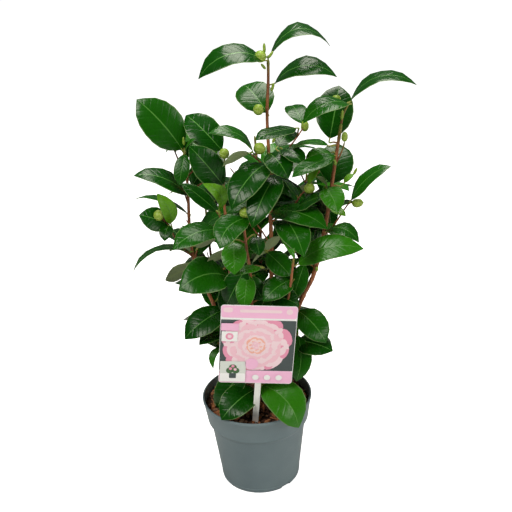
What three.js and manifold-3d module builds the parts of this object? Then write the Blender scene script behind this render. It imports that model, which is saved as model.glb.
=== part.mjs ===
// Camellia shrub in a nursery pot, with its picture tag.
// Millimetres, +Z up. The origin is the centre of the pot's flat underside, -Y is the tag's side.
import * as THREE from 'three';
import { mergeVertices } from 'three/addons/utils/BufferGeometryUtils.js';
import Module from 'manifold-3d';

const wasm = await Module();
wasm.setup();

// ---- Driving dimensions -------------------------------------------------------------------

const GAP = 0.35; // clearance kept between neighbouring pieces

const POT = {
  rimRadius: 75,
  height: 130,
  baseRadius: 55,
  wall: 1.6,
  floor: 2.4,
  bandHeight: 34, // depth of the rim band above the shoulder
  bandTaper: 5, // how much narrower the band is at its lower edge
  shoulder: 4.5, // step in from the band to the wall
  sides: 30,
};

const NOTCH = { count: 3, width: 15, depth: 9, height: 6, firstAngle: -52 }; // drain slots in the heel
const SOIL = { top: 119, mound: 2.5 };
const TAG = { width: 95, height: 118, thick: 0.8, corner: 4, lean: 5, roll: 5.5 };
const TAG_FOOT = [-2, -61, 185]; // middle of the card's lower edge
const STICK = { width: 8, thick: 1.4, offset: 4, behind: 45 }; // it runs up behind the card

const STEM_SIDES = 5;
const STEM_STEP = 36; // length of stem between two rings of its skin
const BLADE = {
  thick: 10, // a lobe of a mass stands for a leaf and the air round it
  at: [0.1, 0.45, 0.82], // where its cross-sections are, along its length
  wide: [0.45, 1, 0.7],
  deep: [0.9, 1, 0.7],
};

// Stems and masses are set out as they are sighted from a fixed eye point in front of the plant:
// each place is [x, z] on the upright plane through the pot's axis, then its depth behind that
// plane (less than 0 is in front of it).
const EYE = new THREE.Vector3(0, -1004, 788);

// ---- Finishes -----------------------------------------------------------------------------

const finish = (color, roughness) => new THREE.MeshStandardMaterial({ color, roughness, metalness: 0 });
const FINISHES = {
  potPlastic: () => finish(0x6a7679, 0.6),
  compost: () => finish(0x5a3a2a, 0.95),
  bark: () => finish(0x8b5437, 0.7),
  tagCard: () => finish(0xf0b3cc, 0.35),
  tagPlastic: () => finish(0xd8dcd6, 0.5),
  leaf: () => finish(0x1f5a14, 0.35),
};

// ---- Small helpers ------------------------------------------------------------------------

const plant = new THREE.Group();

function addPiece(name, geometry, material) {
  const mesh = new THREE.Mesh(geometry, material);
  mesh.name = name;
  plant.add(mesh);
  return mesh;
}

function sighted([x, z, depth]) {
  const onPlane = new THREE.Vector3(x, 0, z);
  return onPlane.addScaledVector(onPlane.clone().sub(EYE), depth / -EYE.y);
}

function solidOf(geometry) {
  const bare = geometry.clone();
  bare.deleteAttribute('normal');
  bare.deleteAttribute('uv');
  const joined = mergeVertices(bare, 1e-4);
  return new wasm.Manifold(
    new wasm.Mesh({
      numProp: 3,
      vertProperties: new Float32Array(joined.attributes.position.array),
      triVerts: new Uint32Array(joined.index.array),
    }),
  );
}

function geometryOf(solid) {
  const mesh = solid.getMesh();
  const geometry = new THREE.BufferGeometry();
  geometry.setAttribute('position', new THREE.BufferAttribute(new Float32Array(mesh.vertProperties), 3));
  geometry.setIndex(new THREE.BufferAttribute(new Uint32Array(mesh.triVerts), 1));
  geometry.computeVertexNormals();
  return geometry;
}

const union = (solids) => solids.reduce((whole, next) => whole.add(next));

function largestPart(solid) {
  return solid.decompose().reduce((best, next) => (next.volume() > best.volume() ? next : best));
}

// A closed skin over equal rings of points, capped with a point at each end.
function skinRings(rings, start, end) {
  const sides = rings[0].length;
  const points = [start, ...rings.flat(), end];
  const last = points.length - 1;
  const faces = [];
  for (let i = 0; i < sides; i += 1) {
    const j = (i + 1) % sides;
    faces.push(0, 1 + j, 1 + i);
    faces.push(last, last - sides + i, last - sides + j);
    for (let ring = 0; ring < rings.length - 1; ring += 1) {
      const low = 1 + ring * sides;
      const high = low + sides;
      faces.push(low + i, low + j, high + j);
      faces.push(low + i, high + j, high + i);
    }
  }
  const geometry = new THREE.BufferGeometry().setFromPoints(points);
  geometry.setIndex(faces);
  geometry.computeVertexNormals();
  return geometry;
}

// A ring of points round a centre, on two half-axes.
function ringOf(sides, centre, across, along) {
  return Array.from({ length: sides }, (_, i) => {
    const angle = (2 * Math.PI * i) / sides;
    return centre
      .clone()
      .addScaledVector(across, Math.cos(angle))
      .addScaledVector(along, Math.sin(angle));
  });
}

// ---- Pot, compost and tag -----------------------------------------------------------------

const bandFoot = POT.height - POT.bandHeight;
const bandRadius = POT.rimRadius - POT.bandTaper;
const wallTop = bandRadius - POT.shoulder;

// Radius of the pot's outer face at a height on its wall, below the shoulder.
const wallRadius = (z) => POT.baseRadius + ((wallTop - POT.baseRadius) * z) / (bandFoot - 4);

function potGeometry() {
  const { wall } = POT;
  const outer = [
    [0, 0],
    [POT.baseRadius - 2.5, 0],
    [wallRadius(3), 3],
    [wallTop, bandFoot - 4],
    [bandRadius, bandFoot],
    [POT.rimRadius, POT.height - 1.2],
    [POT.rimRadius - 0.5, POT.height],
  ];
  const inner = [
    [POT.rimRadius - wall, POT.height],
    [bandRadius - wall, bandFoot],
    [wallTop - wall, bandFoot - 4],
    [wallRadius(3) - wall, POT.floor],
    [0, POT.floor],
  ];
  const profile = [...outer, ...inner].map(([r, z]) => new THREE.Vector2(r, z));
  let pot = solidOf(new THREE.LatheGeometry(profile, POT.sides).rotateX(Math.PI / 2));
  for (let i = 0; i < NOTCH.count; i += 1) {
    const angle = THREE.MathUtils.degToRad(NOTCH.firstAngle + (i * 360) / NOTCH.count);
    const slot = new THREE.BoxGeometry(NOTCH.depth, NOTCH.width, NOTCH.height * 2);
    slot.translate(POT.baseRadius + 1, 0, 0).rotateZ(angle);
    pot = pot.subtract(solidOf(slot));
  }
  return geometryOf(pot);
}

function soilGeometry() {
  const side = POT.wall + GAP;
  const edge = SOIL.top - SOIL.mound;
  const inBand = bandRadius + (POT.bandTaper * (edge - bandFoot)) / POT.bandHeight;
  const profile = [
    [0, POT.floor + GAP],
    [wallRadius(3) - side, POT.floor + GAP],
    [wallTop - side, bandFoot - 4],
    [bandRadius - side, bandFoot],
    [inBand - side, edge],
    [inBand * 0.55, SOIL.top - 0.5],
    [0, SOIL.top],
  ].map(([r, z]) => new THREE.Vector2(r, z));
  return new THREE.LatheGeometry(profile, POT.sides).rotateX(Math.PI / 2);
}

// Carries a piece drawn flat, with its foot at the origin, to the tag's place and lean.
function placeOnTag(geometry) {
  geometry.rotateY(THREE.MathUtils.degToRad(TAG.roll));
  geometry.rotateX(THREE.MathUtils.degToRad(TAG.lean));
  return geometry.translate(...TAG_FOOT);
}

function tagCardGeometry(grow = 0) {
  const { corner } = TAG;
  const half = TAG.width / 2 + grow;
  const low = -grow;
  const high = TAG.height + grow;
  const outline = new THREE.Shape();
  outline.moveTo(-half + corner, low);
  outline.lineTo(half - corner, low);
  outline.absarc(half - corner, low + corner, corner, -Math.PI / 2, 0);
  outline.absarc(half - corner, high - corner, corner, 0, Math.PI / 2);
  outline.absarc(-half + corner, high - corner, corner, Math.PI / 2, Math.PI);
  outline.absarc(-half + corner, low + corner, corner, Math.PI, 1.5 * Math.PI);
  const depth = TAG.thick + 2 * grow;
  const card = new THREE.ExtrudeGeometry(outline, { depth, bevelEnabled: false, curveSegments: 3 });
  card.rotateX(Math.PI / 2).translate(0, grow, 0);
  return placeOnTag(card);
}

function tagStickGeometry(grow = 0) {
  const foot = SOIL.top + 1 - TAG_FOOT[2];
  const length = STICK.behind - foot;
  const sizes = [STICK.width, STICK.thick, length].map((size) => size + 2 * grow);
  const stick = new THREE.BoxGeometry(...sizes);
  stick.translate(STICK.offset, STICK.thick / 2 + GAP, foot + length / 2);
  return placeOnTag(stick);
}

// ---- Stems --------------------------------------------------------------------------------

// Each stem has a foot [x, y] on the compost, then sighted places up to its tip, and its
// diameters at the foot and the tip.
const STEMS = {
  leader_stem: {
    foot: [7, 2],
    way: [[19, 220, 4], [27, 310, 3], [29, 383, 1], [30, 472, 0], [30, 520, 0], [33, 561, 0], [34, 588, 0]],
    thick: [7, 3.4],
  },
  right_stem: {
    foot: [17, -6],
    way: [[40, 205, -16], [65, 270, -22], [83, 309, -24], [98, 373, -20], [107, 430, -14], [119, 506, -10]],
    thick: [7.5, 3.8],
  },
  left_stem: {
    foot: [-8, 4],
    way: [[-35, 220, 12], [-60, 300, 18], [-71, 335, 20], [-74, 375, 20], [-72, 430, 20], [-72, 486, 18]],
    thick: [6.5, 3.2],
  },
  front_stem: {
    foot: [0, -13],
    way: [[-2, 200, -26], [0, 300, -40], [-3, 345, -45], [-5, 378, -47], [-3, 390, -48]],
    thick: [5, 3],
  },
  middle_stem: {
    foot: [-12, -9],
    way: [[-20, 200, -12], [-26, 300, -12], [-27, 370, -10], [-28, 430, -6], [-24, 468, -4]],
    thick: [5.5, 3],
  },
  low_right_stem: {
    foot: [12, -18],
    way: [[32, 200, -36], [50, 285, -46], [57, 333, -46]],
    thick: [4.6, 2.6],
  },
  back_stem: {
    foot: [3, 15],
    way: [[8, 220, 42], [14, 330, 64], [16, 430, 78], [14, 496, 84]],
    thick: [6, 3],
  },
  back_left_stem: {
    foot: [-17, 12],
    way: [[-34, 220, 48], [-48, 320, 76], [-52, 408, 90]],
    thick: [5.5, 2.8],
  },
  back_right_stem: {
    foot: [18, 10],
    way: [[46, 220, 42], [66, 320, 72], [76, 446, 90]],
    thick: [5.5, 2.8],
  },
};

function stemGeometry({ foot, way, thick }, grow = 0) {
  const start = new THREE.Vector3(foot[0], foot[1], SOIL.top + 2 * GAP - grow);
  const curve = new THREE.CatmullRomCurve3([start, ...way.map(sighted)], false, 'centripetal');
  const steps = Math.round(curve.getLength() / STEM_STEP);
  const { normals, binormals } = curve.computeFrenetFrames(steps);
  const rings = normals.map((normal, i) => {
    const radius = THREE.MathUtils.lerp(thick[0], thick[1], i / steps) / 2 + grow;
    const centre = curve.getPointAt(i / steps);
    const across = normal.clone().multiplyScalar(radius);
    const along = binormals[i].clone().multiplyScalar(radius);
    return ringOf(STEM_SIDES, centre, across, along);
  });
  rings[0].forEach((point) => point.setZ(start.z));
  const tip = curve.getPointAt(1).addScaledVector(curve.getTangentAt(1), thick[1] / 2 + grow);
  return skinRings(rings, start, tip);
}

// ---- Foliage ------------------------------------------------------------------------------

// Each mass is the leaves of one shoot: a small core at its hub and a lobe to each leaf tip.
// hub: sighted place; core: radius; lobes: [tip x, tip z, tip depth, width, lift of its middle].
const MASSES = {
  crown_tip_foliage: {
    hub: [34, 592, 0],
    core: 9,
    lobes: [[-49, 571, -20, 38, 24], [105, 603, 12, 34, 20], [54, 590, 78, 38, 14]],
  },
  leader_upper_foliage: {
    hub: [34, 546, 2],
    core: 10,
    lobes: [[114, 565, -12, 36, 18], [-8, 562, 50, 46, 6], [66, 548, 84, 40, 12]],
  },
  leader_middle_foliage: {
    hub: [31, 502, 2],
    core: 12,
    lobes: [[13, 488, -46, 32, 8], [74, 536, 44, 30, 6], [88, 504, 84, 38, 10], [-14, 506, 70, 38, 10]],
  },
  upper_left_foliage: {
    hub: [-22, 474, -4],
    core: 10,
    lobes: [[-67, 526, 4, 36, 6], [-36, 508, -36, 24, 12], [-44, 496, 72, 38, 10]],
  },
  left_top_foliage: {
    hub: [-73, 490, 17],
    core: 8,
    lobes: [[-125, 546, 10, 46, 2], [-50, 499, -14, 20, 4], [-94, 516, 88, 40, 10]],
  },
  left_upper_foliage: {
    hub: [-73, 432, 20],
    core: 9,
    lobes: [[-135, 456, -4, 34, 12], [-66, 474, -20, 34, 4], [-112, 446, 84, 38, 12]],
  },
  left_outer_foliage: {
    hub: [-99, 392, 6],
    core: 8,
    lobes: [[-137, 426, 20, 30, 8], [-112, 431, -12, 26, 2], [-137, 406, -22, 32, 6]],
  },
  left_lower_foliage: {
    hub: [-74, 350, 20],
    core: 9,
    lobes: [[-152, 327, 2, 34, 16], [-110, 314, -6, 30, 4], [-132, 346, 84, 38, 12]],
  },
  centre_left_foliage: {
    hub: [-30, 390, -12],
    core: 12,
    lobes: [[-97, 356, -62, 36, 12], [-34, 356, -92, 44, 14], [-60, 432, -34, 26, 10]],
  },
  centre_foliage: {
    hub: [30, 458, -4],
    core: 13,
    lobes: [[-20, 405, -66, 42, 14], [8, 392, -84, 40, 12], [50, 436, -50, 30, 8], [-20, 456, 60, 38, 8]],
  },
  right_middle_foliage: {
    hub: [62, 410, -10],
    core: 9,
    lobes: [[90, 446, -26, 24, 4], [46, 438, 30, 26, 4], [90, 414, -46, 30, 6], [98, 420, 54, 36, 8]],
  },
  centre_lower_foliage: {
    hub: [32, 388, -6],
    core: 11,
    lobes: [[98, 372, -62, 38, 12], [66, 337, -88, 42, 12], [-2, 372, 52, 38, 8]],
  },
  right_top_foliage: {
    hub: [120, 510, -10],
    core: 8,
    lobes: [[208, 551, -32, 34, 24], [73, 514, -46, 34, 20], [128, 553, 42, 44, 2], [172, 528, 62, 38, 12]],
  },
  right_upper_foliage: {
    hub: [112, 460, -14],
    core: 8,
    lobes: [[58, 443, -56, 34, 8], [118, 484, 44, 44, 2], [168, 474, 58, 38, 12]],
  },
  right_outer_foliage: {
    hub: [130, 404, -18],
    core: 8,
    lobes: [[178, 450, -28, 34, 6], [140, 442, 6, 24, 4], [172, 408, 44, 34, 10]],
  },
  right_lower_foliage: {
    hub: [100, 368, -22],
    core: 8,
    lobes: [[137, 352, -54, 28, 8], [116, 392, -56, 26, 4], [146, 352, 52, 36, 10]],
  },
  low_right_foliage: {
    hub: [60, 318, -46],
    core: 8,
    lobes: [[146, 341, -64, 36, 8], [58, 276, -84, 32, 6], [98, 296, -8, 34, 8]],
  },
  front_foliage: {
    hub: [-4, 352, -47],
    core: 10,
    lobes: [[-38, 322, -82, 34, 8], [18, 312, -92, 34, 8], [-12, 380, -72, 18, 4]],
  },
  front_low_foliage: {
    hub: [-26, 306, -14],
    core: 10,
    lobes: [[-94, 299, -66, 46, 12], [-4, 268, -56, 34, 8], [-64, 280, 40, 38, 10]],
  },
  leader_foot_foliage: {
    hub: [28, 312, 0],
    core: 10,
    lobes: [[34, 268, -52, 36, 8], [74, 276, 36, 36, 10]],
  },
  skirt_left_foliage: {
    hub: [-34, 248, 6],
    core: 9,
    lobes: [[-93, 222, -44, 38, 10], [-68, 184, -48, 28, 6], [-96, 236, 56, 38, 12]],
  },
  skirt_right_foliage: {
    hub: [50, 240, -20],
    core: 8,
    lobes: [[100, 202, -56, 38, 10], [60, 160, -66, 28, 6], [104, 222, 34, 38, 12]],
  },
  rim_left_foliage: {
    hub: [-14, 134, -22],
    core: 6,
    lobes: [[-50, 88, -66, 32, 12], [-60, 118, -34, 30, 12]],
  },
  rim_right_foliage: {
    hub: [17, 138, -34],
    core: 6,
    lobes: [[55, 67, -80, 38, 16]],
  },
  back_top_foliage: {
    hub: [14, 500, 84],
    core: 9,
    lobes: [[-40, 506, 138, 40, 12], [66, 506, 142, 40, 12], [12, 530, 146, 40, 8]],
  },
  back_middle_foliage: {
    hub: [16, 424, 78],
    core: 10,
    lobes: [[-34, 422, 138, 40, 12], [70, 422, 136, 40, 12], [14, 436, 158, 40, 10]],
  },
  back_left_foliage: {
    hub: [-53, 412, 91],
    core: 9,
    lobes: [[-118, 430, 116, 40, 12], [-84, 410, 156, 40, 12], [-66, 452, 132, 38, 6]],
  },
  back_right_foliage: {
    hub: [76, 450, 91],
    core: 9,
    lobes: [[148, 446, 114, 40, 12], [110, 436, 154, 40, 12], [84, 494, 130, 38, 6]],
  },
  back_lower_foliage: {
    hub: [14, 326, 63],
    core: 10,
    lobes: [[-52, 330, 110, 40, 12], [78, 330, 112, 40, 12], [16, 340, 142, 40, 10]],
  },
  back_low_left_foliage: {
    hub: [-44, 290, 66],
    core: 8,
    lobes: [[-104, 296, 92, 38, 12], [-76, 276, 126, 38, 12]],
  },
  back_low_right_foliage: {
    hub: [62, 292, 62],
    core: 8,
    lobes: [[124, 300, 82, 38, 12], [98, 282, 120, 38, 12]],
  },
  back_skirt_foliage: {
    hub: [8, 226, 43],
    core: 9,
    lobes: [[-56, 214, 80, 38, 12], [66, 214, 82, 38, 12], [8, 214, 116, 38, 12]],
  },
};

// A leaf-shaped lobe from a hub to a tip, its middle lifted into an arch.
function lobeGeometry(from, to, width, lift, grow) {
  const axis = to.clone().sub(from);
  const length = axis.length();
  axis.normalize();
  const up = new THREE.Vector3(0, 0, 1).projectOnPlane(axis).normalize();
  const side = new THREE.Vector3().crossVectors(axis, up);
  const rings = BLADE.at.map((t, i) => {
    const centre = from.clone().addScaledVector(axis, t * length).addScaledVector(up, 4 * lift * t * (1 - t));
    const halfWidth = (width / 2) * BLADE.wide[i] + grow;
    const halfDepth = (BLADE.thick / 2) * BLADE.deep[i] + grow;
    return ringOf(4, centre, up.clone().multiplyScalar(halfDepth), side.clone().multiplyScalar(halfWidth));
  });
  return skinRings(rings, from.clone().addScaledVector(axis, -grow), to.clone().addScaledVector(axis, grow));
}

// An uneven round core, squashed a little and lumpy by a fixed wave over its skin.
function coreGeometry(centre, radius, grow) {
  const core = new THREE.OctahedronGeometry(radius, 1);
  const places = core.attributes.position;
  const point = new THREE.Vector3();
  for (let i = 0; i < places.count; i += 1) {
    point.fromBufferAttribute(places, i);
    const wave = Math.sin(point.x * 0.9 + centre.x) * Math.cos(point.z * 0.7 + centre.z);
    point.multiplyScalar(1 + 0.16 * wave + grow / radius);
    places.setXYZ(i, centre.x + point.x, centre.y + point.y, centre.z + point.z * 1.25);
  }
  return core;
}

function massSolid({ hub, core, lobes }, grow = 0) {
  const centre = sighted(hub);
  const pieces = lobes.map(([x, z, depth, width, lift]) =>
    solidOf(lobeGeometry(centre, sighted([x, z, depth]), width, lift, grow)),
  );
  return union([solidOf(coreGeometry(centre, core, grow)), ...pieces]);
}

// ---- Assembly -----------------------------------------------------------------------------

addPiece('pot', potGeometry(), FINISHES.potPlastic());
addPiece('compost', soilGeometry(), FINISHES.compost());
addPiece('tag_stick', tagStickGeometry(), FINISHES.tagPlastic());
addPiece('tag_card', tagCardGeometry(), FINISHES.tagCard());

// What the foliage is cut round: everything made so far that stands in it.
let taken = union([solidOf(tagStickGeometry(GAP)), solidOf(tagCardGeometry(GAP))]);

for (const [name, stem] of Object.entries(STEMS)) {
  addPiece(name, stemGeometry(stem), FINISHES.bark());
  taken = taken.add(solidOf(stemGeometry(stem, GAP)));
}

for (const [name, mass] of Object.entries(MASSES)) {
  const cut = largestPart(massSolid(mass).subtract(taken));
  addPiece(name, geometryOf(cut), FINISHES.leaf());
  taken = taken.add(massSolid(mass, GAP));
}

export default plant;
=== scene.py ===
"""A potted camellia shrub: glossy evergreen leaves, round buds, slim stems, a nursery pot and a tag.

Small things are set out in millimetres and turned to metres when their mesh is built.
"""

import logging
import math
import random
from collections.abc import Callable
from dataclasses import dataclass, field
from enum import Enum

import bpy
import numpy as np
from mathutils import Matrix, Vector


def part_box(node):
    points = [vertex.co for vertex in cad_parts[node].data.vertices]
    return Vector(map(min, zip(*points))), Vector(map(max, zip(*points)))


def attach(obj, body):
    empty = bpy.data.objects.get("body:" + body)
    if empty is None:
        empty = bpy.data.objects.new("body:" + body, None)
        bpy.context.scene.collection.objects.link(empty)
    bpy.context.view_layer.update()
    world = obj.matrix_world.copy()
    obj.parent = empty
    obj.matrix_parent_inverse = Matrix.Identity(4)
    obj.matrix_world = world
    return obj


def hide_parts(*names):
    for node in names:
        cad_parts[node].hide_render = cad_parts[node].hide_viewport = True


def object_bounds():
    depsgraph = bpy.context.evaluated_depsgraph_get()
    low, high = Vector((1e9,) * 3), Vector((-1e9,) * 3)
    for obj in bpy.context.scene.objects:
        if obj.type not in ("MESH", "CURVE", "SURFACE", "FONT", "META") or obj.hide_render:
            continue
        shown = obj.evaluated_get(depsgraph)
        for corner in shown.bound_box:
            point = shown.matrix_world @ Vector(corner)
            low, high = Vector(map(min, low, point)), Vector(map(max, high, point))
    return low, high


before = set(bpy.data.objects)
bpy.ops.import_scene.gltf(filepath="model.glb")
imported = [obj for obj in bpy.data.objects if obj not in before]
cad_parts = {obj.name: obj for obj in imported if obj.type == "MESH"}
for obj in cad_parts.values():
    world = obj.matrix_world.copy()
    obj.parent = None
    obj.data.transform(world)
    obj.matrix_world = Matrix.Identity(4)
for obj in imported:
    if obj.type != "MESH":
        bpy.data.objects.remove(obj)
CAD_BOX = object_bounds()

LOG = logging.getLogger("camellia")
MM = 0.001
BODY = "root"
EYE = np.array([0.0, -1004.0, 788.0])  # where the plant is sighted from, in mm
GOLDEN_ANGLE = math.radians(137.5)

Pair = tuple[float, float]
Place = tuple[float, float, float]
Faces = list[tuple[int, ...]]
Piece = bpy.types.Object
Tree = bpy.types.NodeTree
Socket = bpy.types.NodeSocket


# ---- Setting out


def sighted(place: Place) -> np.ndarray:
    """Carries a place sighted on the upright plane through the pot's axis back to its depth.

    Args:
        place: x and z on that plane, then the depth behind it, all in mm.

    Returns:
        The point in mm.
    """
    x, z, depth = place
    on_plane = np.array([x, 0.0, z])
    return on_plane + (on_plane - EYE) * depth / -EYE[1]


def seen_from_eye(points: np.ndarray) -> np.ndarray:
    """Gives x and z on the upright plane, and the depth, for points in mm.

    Args:
        points: an array of points, one to a row.

    Returns:
        An array of the same shape: x on the plane, z on the plane, depth.
    """
    scale = 1 + points[:, 1:2] / -EYE[1]
    flat = (points - EYE) / scale + EYE
    return np.stack([flat[:, 0], flat[:, 2], points[:, 1]], axis=1)


def unit(vector: np.ndarray) -> np.ndarray:
    """Returns the vector at length 1."""
    return vector / max(np.linalg.norm(vector), 1e-9)


def run_along(way: np.ndarray) -> np.ndarray:
    """Returns the length of a way from its start to each of its points."""
    return np.concatenate([[0], np.cumsum(np.linalg.norm(np.diff(way, axis=0), axis=1))])


def smooth_way(points: list[np.ndarray], step: float) -> np.ndarray:
    """Runs a smooth curve through points at about even steps.

    Args:
        points: the points on the way, in mm.
        step: the length between two points of the result, in mm.

    Returns:
        The points of the curve, one to a row.
    """
    ends = [2 * points[0] - points[1], *points, 2 * points[-1] - points[-2]]
    way = []
    for a, b, c, d in zip(ends, ends[1:], ends[2:], ends[3:]):
        count = max(2, round(float(np.linalg.norm(c - b)) / step))
        for t in np.linspace(0, 1, count, endpoint=False):
            way.append(0.5 * (2 * b + (c - a) * t + (2 * a - 5 * b + 4 * c - d) * t**2
                              + (3 * b - a - 3 * c + d) * t**3))
    way.append(points[-1])
    return np.array(way)


# ---- Materials


def linear(colour: str) -> tuple[float, float, float, float]:
    """Turns an sRGB hex colour to linear red, green, blue and alpha."""
    parts = [int(colour[i:i + 2], 16) / 255 for i in (1, 3, 5)]
    return (*[p / 12.92 if p <= 0.04045 else ((p + 0.055) / 1.055) ** 2.4 for p in parts], 1.0)


def add_node(tree: Tree, kind: str, links: dict | None = None, **settings: object) -> bpy.types.Node:
    """Adds a node to a tree, sets it and fills its inputs.

    Args:
        tree: the material's node tree.
        kind: the node's type name.
        links: what goes into each input: another node's output socket, or a value.
        settings: the node's own settings.

    Returns:
        The node.
    """
    node = tree.nodes.new(kind)
    for name, value in settings.items():
        setattr(node, name, value)
    for name, value in (links or {}).items():
        if isinstance(value, Socket):
            tree.links.new(value, node.inputs[name])
        else:
            node.inputs[name].default_value = value
    return node


def maths(tree: Tree, operation: str, *values: Socket | float) -> Socket:
    """Adds one step of arithmetic on sockets and numbers, and returns its result."""
    return add_node(tree, "ShaderNodeMath", dict(enumerate(values)), operation=operation).outputs[0]


def place_of(tree: Tree) -> Socket:
    """Returns the place on the object, in metres."""
    return add_node(tree, "ShaderNodeTexCoord").outputs["Object"]


def noise(tree: Tree, place: Socket, size: float, detail: float, roughness: float = 0.5) -> Socket:
    """Adds a noise whose patches are a size in mm, and returns its factor."""
    inputs = {"Vector": place, "Scale": 1 / (size * MM), "Detail": detail, "Roughness": roughness}
    return add_node(tree, "ShaderNodeTexNoise", inputs).outputs["Fac"]


def bump(tree: Tree, height: Socket, depth: float, strength: float = 1.0,
         over: Socket | None = None, invert: bool = False) -> Socket:
    """Adds a relief.

    Args:
        tree: the material's node tree.
        height: its height, from 0 to 1.
        depth: its depth in mm.
        strength: how much of it shows.
        over: the normal of a relief that it lies on.
        invert: whether it goes in and not out.

    Returns:
        The normal.
    """
    inputs = {"Height": height, "Distance": depth * MM, "Strength": strength}
    if over:
        inputs["Normal"] = over
    return add_node(tree, "ShaderNodeBump", inputs, invert=invert).outputs["Normal"]


def colour_ramp(tree: Tree, factor: Socket, stops: list[tuple[float, str]]) -> Socket:
    """Adds a colour ramp.

    Args:
        tree: the material's node tree.
        factor: what runs along the ramp.
        stops: places on the ramp and their hex colours.

    Returns:
        The ramp's colour output.
    """
    ramp = add_node(tree, "ShaderNodeValToRGB", {"Fac": factor})
    while len(ramp.color_ramp.elements) < len(stops):
        ramp.color_ramp.elements.new(0.5)
    for element, (place, colour) in zip(ramp.color_ramp.elements, stops):
        element.position = place
        element.color = linear(colour)
    return ramp.outputs["Color"]


@dataclass
class Finish:
    """A material that starts as one plain surface; each kind of finish adds its own pattern."""

    name: str
    colour: str
    roughness: float = 0.5
    ior: float = 1.45
    coat: float = 0.0
    coat_roughness: float = 0.2
    material: bpy.types.Material | None = None

    def build(self) -> bpy.types.Material:
        """Makes the material the first time.

        Returns:
            The material.
        """
        if self.material is None:
            self.material = bpy.data.materials.new(self.name)
            self.material.use_nodes = True
            tree = self.material.node_tree
            tree.nodes.clear()
            shader = add_node(tree, "ShaderNodeBsdfPrincipled", {
                "Base Color": linear(self.colour), "Roughness": self.roughness, "IOR": self.ior,
                "Coat Weight": self.coat, "Coat Roughness": self.coat_roughness,
            })
            self.pattern(tree, shader)
            add_node(tree, "ShaderNodeOutputMaterial", {"Surface": shader.outputs["BSDF"]})
        return self.material

    def pattern(self, tree: Tree, shader: bpy.types.Node) -> None:
        """Adds what the surface has beyond its plain colour.

        Args:
            tree: the material's node tree.
            shader: its main shader.
        """


@dataclass
class LeafCuticle(Finish):
    """The waxy face of a leaf: side veins and fine quilting that break up its gloss."""

    vein_depth: float = 0.16  # depths and meshes are in mm
    vein_pairs: float = 8.0
    vein_bow: float = 0.8
    vein_sweep: float = 0.42
    vein_wide: float = 0.22
    net_mesh: float = 3.2
    quilt_depth: float = 0.08
    swell_mesh: float = 16.0
    swell_depth: float = 1.2

    def pattern(self, tree: Tree, shader: bpy.types.Node) -> None:
        """Runs the side veins along the leaf's own map, and the quilting through space.

        Args:
            tree: the material's node tree.
            shader: its main shader.
        """
        lie = add_node(tree, "ShaderNodeUVMap", uv_map="leaf_lie").outputs["UV"]
        part = add_node(tree, "ShaderNodeSeparateXYZ", {"Vector": lie})
        out = maths(tree, "ABSOLUTE", maths(tree, "SUBTRACT", part.outputs["X"], 0.5))
        bowed = maths(tree, "POWER", out, self.vein_bow)
        along = maths(tree, "MULTIPLY_ADD", bowed, -self.vein_sweep, part.outputs["Y"])
        wave = maths(tree, "PINGPONG", maths(tree, "MULTIPLY", along, self.vein_pairs), 0.5)
        across = {0: wave, 1: 0.0, 2: self.vein_wide, 3: 0.0, 4: 1.0}
        vein = add_node(tree, "ShaderNodeMapRange", across,
                        interpolation_type="SMOOTHSTEP").outputs[0]
        place = place_of(tree)
        mesh = {"Vector": place, "Scale": 1 / (self.net_mesh * MM)}
        net = add_node(tree, "ShaderNodeTexVoronoi", mesh, feature="SMOOTH_F1").outputs["Distance"]
        swell = noise(tree, place, self.swell_mesh, 2.0)
        veined = bump(tree, vein, self.vein_depth)
        quilted = bump(tree, net, self.quilt_depth, over=veined, invert=True)
        tree.links.new(bump(tree, swell, self.swell_depth, over=quilted), shader.inputs["Normal"])
        rough = add_node(tree, "ShaderNodeMapRange", {
            0: swell, 1: 0.35, 2: 0.65, 3: self.roughness - 0.05, 4: self.roughness + 0.08})
        tree.links.new(rough.outputs[0], shader.inputs["Roughness"])


@dataclass
class YoungBark(Finish):
    """Smooth young bark: cinnamon, streaked along the grain, with pale pores, green at tips."""

    tip_colour: str = "#7f8a3a"

    def pattern(self, tree: Tree, shader: bpy.types.Node) -> None:
        """Mixes streaks and pores by place, and green by the age along the limb.

        Args:
            tree: the material's node tree.
            shader: its main shader.
        """
        stretch = {"Vector": place_of(tree), "Scale": (1.0, 1.0, 0.16)}
        drawn = add_node(tree, "ShaderNodeMapping", stretch)
        grain = noise(tree, drawn.outputs[0], 1.3, 4.0, 0.6)
        bark = colour_ramp(tree, grain, [
            (0.3, "#4e2a1a"), (0.45, self.colour), (0.6, "#a5683f"), (0.75, "#b98a62")])
        age = add_node(tree, "ShaderNodeAttribute", attribute_name="youth").outputs["Fac"]
        # the colour inputs of a mix node are its 6 and 7, and its colour output is its 2
        young = add_node(tree, "ShaderNodeMix", {0: age, 6: bark, 7: linear(self.tip_colour)},
                         data_type="RGBA")
        tree.links.new(young.outputs[2], shader.inputs["Base Color"])
        tree.links.new(bump(tree, grain, 0.35, 0.8), shader.inputs["Normal"])


@dataclass
class Speckled(Finish):
    """A surface mottled between two colours, with a fine relief of its own."""

    second: str = "#000000"
    mottle: float = 10.0  # mm between patches
    relief: float = 0.1  # mm
    grit: float = 1.0  # mm between bumps

    def pattern(self, tree: Tree, shader: bpy.types.Node) -> None:
        """Mixes the two colours by a soft noise and bumps the surface by a fine one.

        Args:
            tree: the material's node tree.
            shader: its main shader.
        """
        place = place_of(tree)
        patch = noise(tree, place, self.mottle, 4.0)
        colour = colour_ramp(tree, patch, [(0.35, self.colour), (0.65, self.second)])
        tree.links.new(colour, shader.inputs["Base Color"])
        grit = noise(tree, place, self.grit, 3.0)
        tree.links.new(bump(tree, grit, self.relief), shader.inputs["Normal"])


@dataclass
class Ink(Finish):
    """Print under a clear gloss."""

    roughness: float = 0.3
    coat: float = 0.4


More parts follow.
